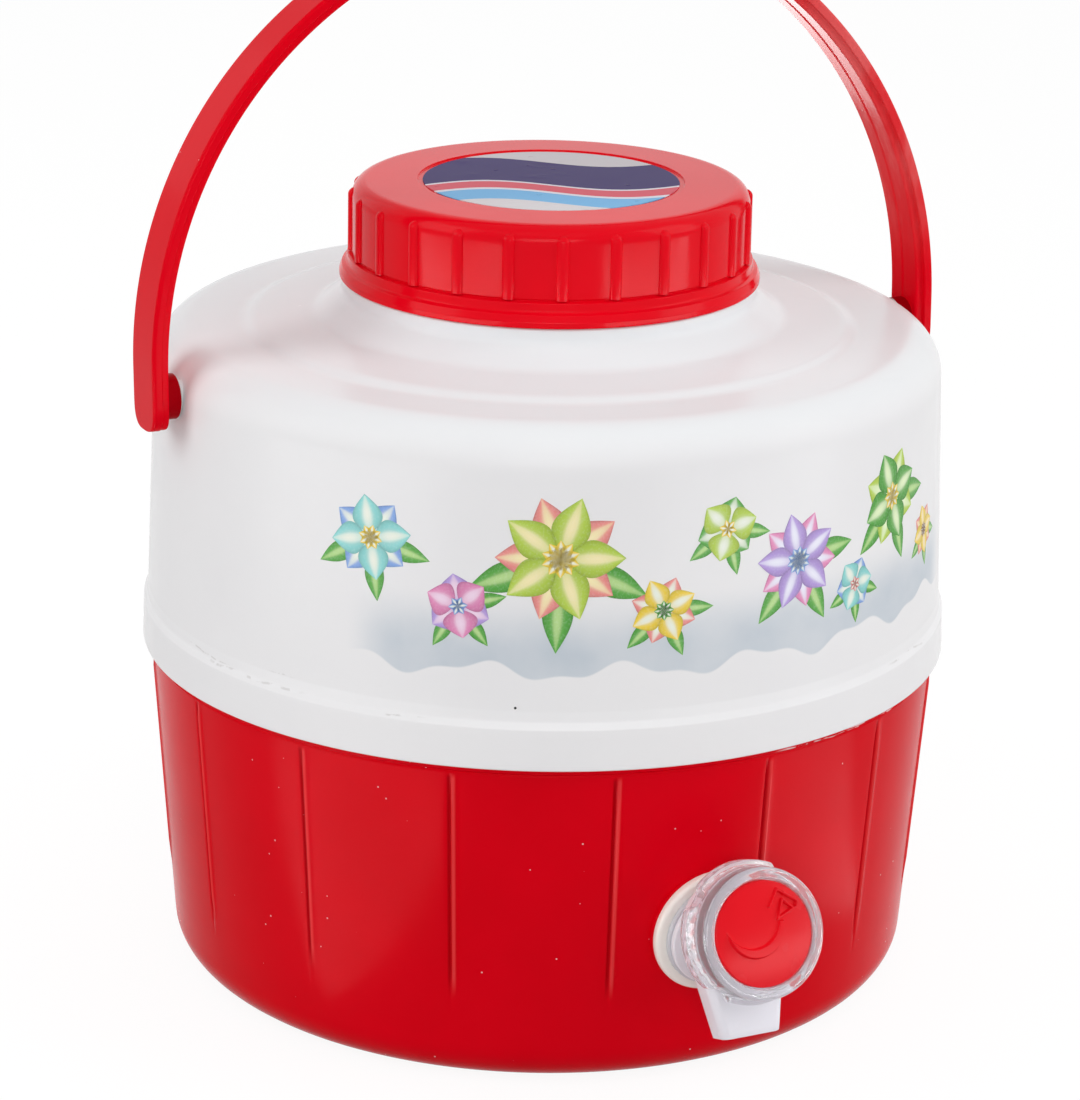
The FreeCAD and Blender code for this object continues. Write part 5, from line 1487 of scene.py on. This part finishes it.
def handle_plastic(plastic: MouldedPlastic, handle: Handle) -> Material:
    """Return the handle's red plastic: a painted pale sheen in rub-mark streaks on the right arm, painted
    shade on the bosses.

    Args:
        plastic: The finish without them.
        handle: The handle, with the places of its arms and bosses.

    Returns:
        The finished material.
    """
    # Painted sheen: pale streaks on the right arm stand in for the gloss gleam there, partly as rub marks.
    arm_start, arm_end = 0.060, 0.100
    sheen_rub_low, sheen_rub_high = 0.205, 0.245
    graph = plastic.graph()
    base = graph.base_colour()
    x, _, z = graph.node("ShaderNodeSeparateXYZ", {0: graph.place}).outputs
    streaks = graph.between(graph.noise(55, 4, 0.6, graph.stretched((1.0, 1.6, 0.35))), 0.40, 0.62, 0.25, 1.0)
    rub_and_painted_sheen = graph.times(streaks, graph.between(x, arm_start, arm_end), graph.between(z, sheen_rub_low, sheen_rub_high),
                         0.42)
    rubbed_with_painted_sheen = graph.mix(rub_and_painted_sheen, base, (0.80, 0.26, 0.25))
    # Painted shade: the bosses are darkened for the shade that falls between the handle and the wall.
    root = (handle.radius - handle.thickness) * MM
    low = graph.between(z, (handle.pivot_height + 10) * MM, (handle.pivot_height + 8) * MM)
    inside = graph.between(graph.math("ABSOLUTE", x), root, root - 0.0004)
    graph.set(Base_Color=graph.mix(graph.times(low, inside), rubbed_with_painted_sheen, (0.36, 0.0, 0.004)))
    return graph.material


def label_film() -> Material:
    """Return the label: plain wavy bands of colour on silver white, under a thin clear film."""
    graph = Graph("label_print")
    spin = {"Vector": graph.place, "Rotation": (0, 0, math.radians(20))}
    turned_place = graph.node("ShaderNodeMapping", spin).outputs[0]
    x, y, _ = graph.node("ShaderNodeSeparateXYZ", {0: turned_place}).outputs
    level = graph.math("ADD", y, graph.ripple(x, 78.0, 0.0065))
    ramp = graph.node("ShaderNodeValToRGB", {0: graph.math("MULTIPLY_ADD", level, 12.5, 0.5)})
    ramp.color_ramp.interpolation = "CONSTANT"
    bands = ((0.0, (0.68, 0.68, 0.70)), (0.12, (0.18, 0.48, 0.80)), (0.27, (0.72, 0.74, 0.80)),
             (0.30, (0.68, 0.10, 0.14)), (0.40, (0.72, 0.72, 0.78)), (0.42, (0.035, 0.018, 0.13)),
             (0.80, (0.58, 0.57, 0.60)))
    stops = ramp.color_ramp.elements
    stops[1].position = bands[1][0]
    for place, _ in bands[2:]:
        stops.new(place)
    for stop, (_, colour) in zip(stops, bands):
        stop.color = (*colour, 1)
    roughness = graph.math("MULTIPLY_ADD", graph.noise(140, 3), 0.15, 0.12)
    graph.set(Base_Color=ramp.outputs[0], Roughness=roughness, Specular_IOR_Level=0.012)
    creases = graph.between(graph.noise(55, 4, 0.6), 0.52, 0.75)
    graph.bumps((creases, 0.1), (graph.specks(0.006, 0.16, 0.3), 0.25))
    return graph.material


def make_finishes() -> Finishes:
    """Return all materials of the jug."""
    red, deep = (0.71, 0.0, 0.008), (0.64, 0.0, 0.006)
    dust = (0.85, 0.55, 0.55)
    wall = MouldedPlastic("red_gloss", red, deep, 0.22, 0.03, dust=0.4, dust_colour=dust)
    return Finishes(
        red=red_wall(wall, RedBody()),
        lid_red=MouldedPlastic("lid_red_gloss", (0.78, 0.001, 0.010), red, 0.15, 0.075, wave=0.04).material(),
        handle_red=handle_plastic(MouldedPlastic("handle_red_gloss", (0.74, 0.001, 0.010), red, 0.15, 0.02,
                                                 dust=0.12, dust_colour=dust, wave=0.04), Handle()),
        disc_red=MouldedPlastic("button_red_gloss", (0.80, 0.004, 0.012), red, 0.26, 0.13,
                                wave=0.02).material(),
        white=white_wall(),
        tap_white=MouldedPlastic("tap_white_gloss", (0.86, 0.85, 0.90), (0.80, 0.79, 0.86), 0.25, 0.12,
                                 wave=0.03).material(),
        # Painted shade: the seat ring's grey tone stands in for the shade of the hub that falls on it.
        collar=MouldedPlastic("collar_grey_painted_shade", (0.60, 0.60, 0.64), (0.52, 0.52, 0.58), 0.35,
                              0.35).material(),
        liner=MouldedPlastic("liner_white_plastic", (0.80, 0.82, 0.83), (0.74, 0.76, 0.78), 0.32,
                             0.35).material(),
        foam=RigidFoam("cream_foam", (0.78, 0.68, 0.42), (0.55, 0.44, 0.22)).material(),
        seal=SoftRubber("seal_rubber", (0.60, 0.60, 0.58), (0.70, 0.70, 0.68)).material(),
        ivory=SoftRubber("ivory_rubber", (0.91, 0.88, 0.82), (0.93, 0.91, 0.86), 0.4).material(),
        clear=ClearPlastic("clear_styrene", (0.95, 0.94, 0.98)).material(),
        steel=PlatedSteel("plated_steel", (0.62, 0.61, 0.58)).material(),
        ink=PrintedInk("print_ink").material(),
        label=label_film(),
    )


def dress_kept_nodes(finishes: Finishes) -> None:
    """Give every CAD node that stays visible its material."""
    kept = {
        finishes.liner: ("inner_liner", "lid_plug", "wall_sleeve"),
        finishes.foam: ("foam_insulation", "lid_foam"),
        finishes.red: ("foam_fill_plug", "pivot_stud_left", "pivot_stud_right"),
        finishes.seal: ("rim_gasket", "plug_seal", "pivot_washer_left", "pivot_washer_right",
                        "tap_inner_washer", "rotor_seals"),
        finishes.tap_white: ("tap_nut", "valve_rotor"),
        finishes.steel: ("knob_screw",),
    }
    for material, names in kept.items():
        for name in names:
            node = frame["nodes"][name]
            node.data.materials.clear()
            node.data.materials.append(material)
            LOG.info("%s: packed node in %s", name, material.name)


# Room, light and camera


def seated_matrix(axes: Array, place: Array) -> Matrix:
    """Return the matrix that carries x, y and z to the rows of axes, and the origin to a place in m."""
    return Matrix([(*row, start) for row, start in zip(axes.T, place)] + [(0, 0, 0, 1)])


@dataclass(frozen=True)
class Studio:
    """Camera, lamps, floor and world of a plain studio.

    Attributes:
        distance: Camera's distance from the jug's axis in mm.
        height: Camera's height in mm.
        yaw: Turn of the view to the side in radians.
        pitch: Turn of the view down in radians.
        roll: Turn of the view about its own line in radians.
        tap_azimuth: Degrees from the camera round to the tap.
        focal: Focal length in pixels of the 1080 x 1100 picture.
        long_side: Longer side of that picture in pixels.
        sensor: Width of the camera's sensor in mm.
        floor_glow: Strength of the white that camera, glossy and transmission rays see of the floor.
        floor_share: Share of that white. The rest is the lit floor with its shadow.
        floor_reach: Half of the floor's side in mm.
        floor_gap: Depth of the floor below the jug's base in mm.
        world_dim: Strength of the world on its dark side.
        world_share: Share of full strength on its bright side.
        world_way: Direction of its bright side in the camera's frame.
        world_start: Cosine to that direction where it starts to brighten.
        world_end: Cosine where it is bright.
    """

    distance: float = 1122.361
    height: float = 506.302
    yaw: float = -0.0011
    pitch: float = 0.32536
    roll: float = 0.019526
    tap_azimuth: float = 25.23
    focal: float = 3788.737
    long_side: int = 1100
    sensor: float = 36.0
    floor_glow: float = 1.14
    floor_share: float = 0.8
    floor_reach: float = 8000.0
    floor_gap: float = 0.02
    world_dim: float = 0.28
    world_share: float = 0.7
    world_way: Corner = (0.72, 0.58, 0.38)
    world_start: float = -0.35
    world_end: float = 0.75

    def around(self, points: Array) -> Array:
        """Return points of the camera's frame in the jug's frame, turned about z by the tap's azimuth."""
        turn = math.radians(-self.tap_azimuth)
        cosine, sine = math.cos(turn), math.sin(turn)
        return points @ np.array([[cosine, -sine, 0], [sine, cosine, 0], [0, 0, 1]]).T

    def add_camera(self) -> None:
        """Place the camera at the photograph's point of view."""
        level = math.cos(self.pitch)
        forward = np.array([math.sin(self.yaw) * level, math.cos(self.yaw) * level, -math.sin(self.pitch)])
        right = np.array([math.cos(self.yaw), -math.sin(self.yaw), 0])
        up = np.cross(right, forward)
        right, up = (math.cos(self.roll) * right + math.sin(self.roll) * up,
                     math.cos(self.roll) * up - math.sin(self.roll) * right)
        columns = self.around(np.array([right, up, -forward]))
        place = self.around(np.array([0, -self.distance, self.height])) * MM
        data = bpy.data.cameras.new("photo_camera")
        data.sensor_width = self.sensor
        data.lens = self.focal / self.long_side * self.sensor
        data.clip_start, data.clip_end = 0.05, 50
        camera = bpy.data.objects.new("photo_camera", data)
        camera.matrix_world = seated_matrix(columns, place)
        bpy.context.scene.collection.objects.link(camera)
        bpy.context.scene.camera = camera

    def add_lamp(self, name: str, azimuth: float, elevation: float, distance: float, size: Size,
                 power: float, target: float = 0.15, gloss_only: bool = False) -> None:
        """Add a soft box that looks at the jug's axis.

        Args:
            name: Name of the lamp.
            azimuth: Degrees round from the camera towards the right of the picture.
            elevation: Degrees above the horizon.
            distance: Metres from the point that it looks at.
            size: Width and height in metres.
            power: Watts.
            target: Height in metres of the point that it looks at.
            gloss_only: The lamp only shows as a gleam on glossy faces.
        """
        turn, rise = math.radians(azimuth), math.radians(elevation)
        away = self.around(np.array([math.sin(turn) * math.cos(rise), -math.cos(turn) * math.cos(rise),
                                     math.sin(rise)]))
        side = np.cross((0, 0, 1), away)
        side = side / np.linalg.norm(side)
        axes = np.array([side, np.cross(away, side), away])
        place = away * distance + np.array([0, 0, target])
        self.hang_lamp(name, seated_matrix(axes, place), size, power, gloss_only)

    def add_card(self, name: str, across: float, behind: float, size: Size, power: float) -> None:
        """Lay a card of light on the floor that faces up and only shows as a gleam on glossy faces.

        Args:
            name: Name of the lamp.
            across: Metres from the jug's axis towards the right of the picture.
            behind: Metres from the jug's axis away from the camera.
            size: Width and depth in metres.
            power: Watts.
        """
        axes = self.around(np.array([[1.0, 0.0, 0.0], [0.0, -1.0, 0.0], [0.0, 0.0, -1.0]]))
        place = self.around(np.array([across, behind, 0.001]))
        self.hang_lamp(name, seated_matrix(axes, place), size, power, gloss_only=True)

    @staticmethod
    def hang_lamp(name: str, matrix: Matrix, size: Size, power: float, gloss_only: bool) -> None:
        """Make one rectangular lamp at a matrix, hidden from the camera."""
        data = bpy.data.lights.new(name, "AREA")
        data.shape, data.size, data.size_y, data.energy = "RECTANGLE", *size, power
        lamp = bpy.data.objects.new(name, data)
        lamp.matrix_world = matrix
        lamp.visible_camera = False
        lamp.visible_diffuse = not gloss_only
        lamp.visible_transmission = not gloss_only
        bpy.context.scene.collection.objects.link(lamp)

    def add_floor(self) -> None:
        """Lay a wide pale floor that keeps the jug's shadow and shows white."""
        graph = Graph("pale_floor")
        grey = graph.mix(graph.noise(3, 2), (0.50, 0.50, 0.50), (0.54, 0.54, 0.54))
        graph.set(Base_Color=grey, Roughness=0.9, Specular_IOR_Level=0.1)
        path = graph.node("ShaderNodeLightPath").outputs
        share = graph.times(graph.most(*(path[kind] for kind in PALE_RAYS)), self.floor_share)
        white = graph.node("ShaderNodeEmission", {"Color": (1.0, 1.0, 1.0), "Strength": self.floor_glow})
        blend = graph.node("ShaderNodeMixShader", {0: share, 1: graph.shader.outputs[0], 2: white.outputs[0]})
        graph.tree.links.new(blend.outputs[0], graph.output.inputs["Surface"])
        across = np.linspace(-self.floor_reach, self.floor_reach, 9)
        x, y = np.meshgrid(across, across, indexing="ij")
        surface = lattice(np.stack([x, y, 0 * x - self.floor_gap], -1), wrap_columns=False)
        mesh = bpy.data.meshes.new("floor")
        mesh.from_pydata((surface.points * MM).tolist(), [], surface.quads[:, ::-1].tolist())
        mesh.materials.append(graph.material)
        floor = bpy.data.objects.new("floor", mesh)
        bpy.context.scene.collection.objects.link(floor)

    def add_world(self) -> None:
        """Surround the jug with a white sweep that lights the camera's side less."""
        world = bpy.data.worlds.new("studio")
        world.use_nodes = True
        bpy.context.scene.world = world
        sky = Tree(world.node_tree)
        place = sky.node("ShaderNodeTexCoord").outputs["Generated"]
        way = tuple(self.around(np.array(self.world_way)).tolist())
        along = sky.node("ShaderNodeVectorMath", {0: place, 1: way}, operation="DOT_PRODUCT").outputs["Value"]
        growth = sky.between(along, self.world_start, self.world_end, 0.0, self.world_share)
        path = sky.node("ShaderNodeLightPath").outputs
        share = sky.most(growth, *(path[kind] for kind in PALE_RAYS))
        dim, bright = (sky.node("ShaderNodeBackground", {"Color": (1.0, 1.0, 1.0), "Strength": strength})
                       for strength in (self.world_dim, 1.0))
        blend = sky.node("ShaderNodeMixShader", {0: share, 1: dim.outputs[0], 2: bright.outputs[0]})
        sky.node("ShaderNodeOutputWorld", {"Surface": blend.outputs[0]})

    def build(self) -> None:
        """Set up the whole studio."""
        self.add_camera()
        self.add_lamp("key_softbox", 78, 28, 1.5, (0.7, 1.2), 6.5)
        self.add_lamp("fill_softbox", -68, 30, 1.6, (0.9, 1.2), 9.0)
        self.add_lamp("rear_left_softbox", -125, 25, 1.6, (0.9, 1.0), 1.4)
        self.add_lamp("front_softbox", -6, 52, 1.7, (1.3, 0.8), 1.6)
        self.add_lamp("low_front_softbox", 0, 14, 1.8, (1.0, 0.5), 7.9)
        self.add_lamp("rear_softbox", 170, 35, 1.6, (1.2, 1.0), 1.0)
        self.add_lamp("left_strip", -52, -16.7, 0.626, (0.6, 0.08), 1.2, target=0.235, gloss_only=True)
        self.add_lamp("right_strip", 56, -16.7, 0.626, (0.6, 0.08), 1.1, target=0.235, gloss_only=True)
        self.add_card("left_card", -0.19, -0.19, (0.20, 0.16), 0.6)
        self.add_card("right_card", 0.235, -0.09, (0.15, 0.12), 0.18)
        self.add_card("arm_card", -0.06, 0.50, (0.12, 0.30), 0.7)
        self.add_floor()
        self.add_world()
        settings = bpy.context.scene.view_settings
        settings.view_transform = "Standard"


def tap_seats() -> tuple[Seat, Seat]:
    """Return the seats of the shank, square to the wall, and of the valve, on the knob's axis."""
    joint = next(item for item in frame["joints"] if item["name"] == "knob_turn")
    wall_point = np.array(joint["pos_m"]) / MM
    droop = math.atan(RedBody().draft)
    shank = Seat.facing(wall_point, (0, -math.cos(droop), -math.sin(droop)))
    return shank, Seat.facing(wall_point, joint["axis"])


def main() -> None:
    """Build every sub-assembly round the frame, then the studio."""
    logging.basicConfig(level=logging.INFO, format="%(name)s: %(message)s")
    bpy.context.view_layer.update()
    shell = WhiteShell()
    finishes = make_finishes()
    shank, valve = tap_seats()
    RedBody().build(finishes, shank)
    shell.build(finishes)
    Garland(shell, BLOOMS).build(finishes)
    Lid().build(finishes)
    Handle().build(finishes)
    Tap().build(finishes, shank, valve)
    Knob().build(finishes, valve)
    dress_kept_nodes(finishes)
    Studio().build()
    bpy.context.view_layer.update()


if __name__ == "__main__":
    main()
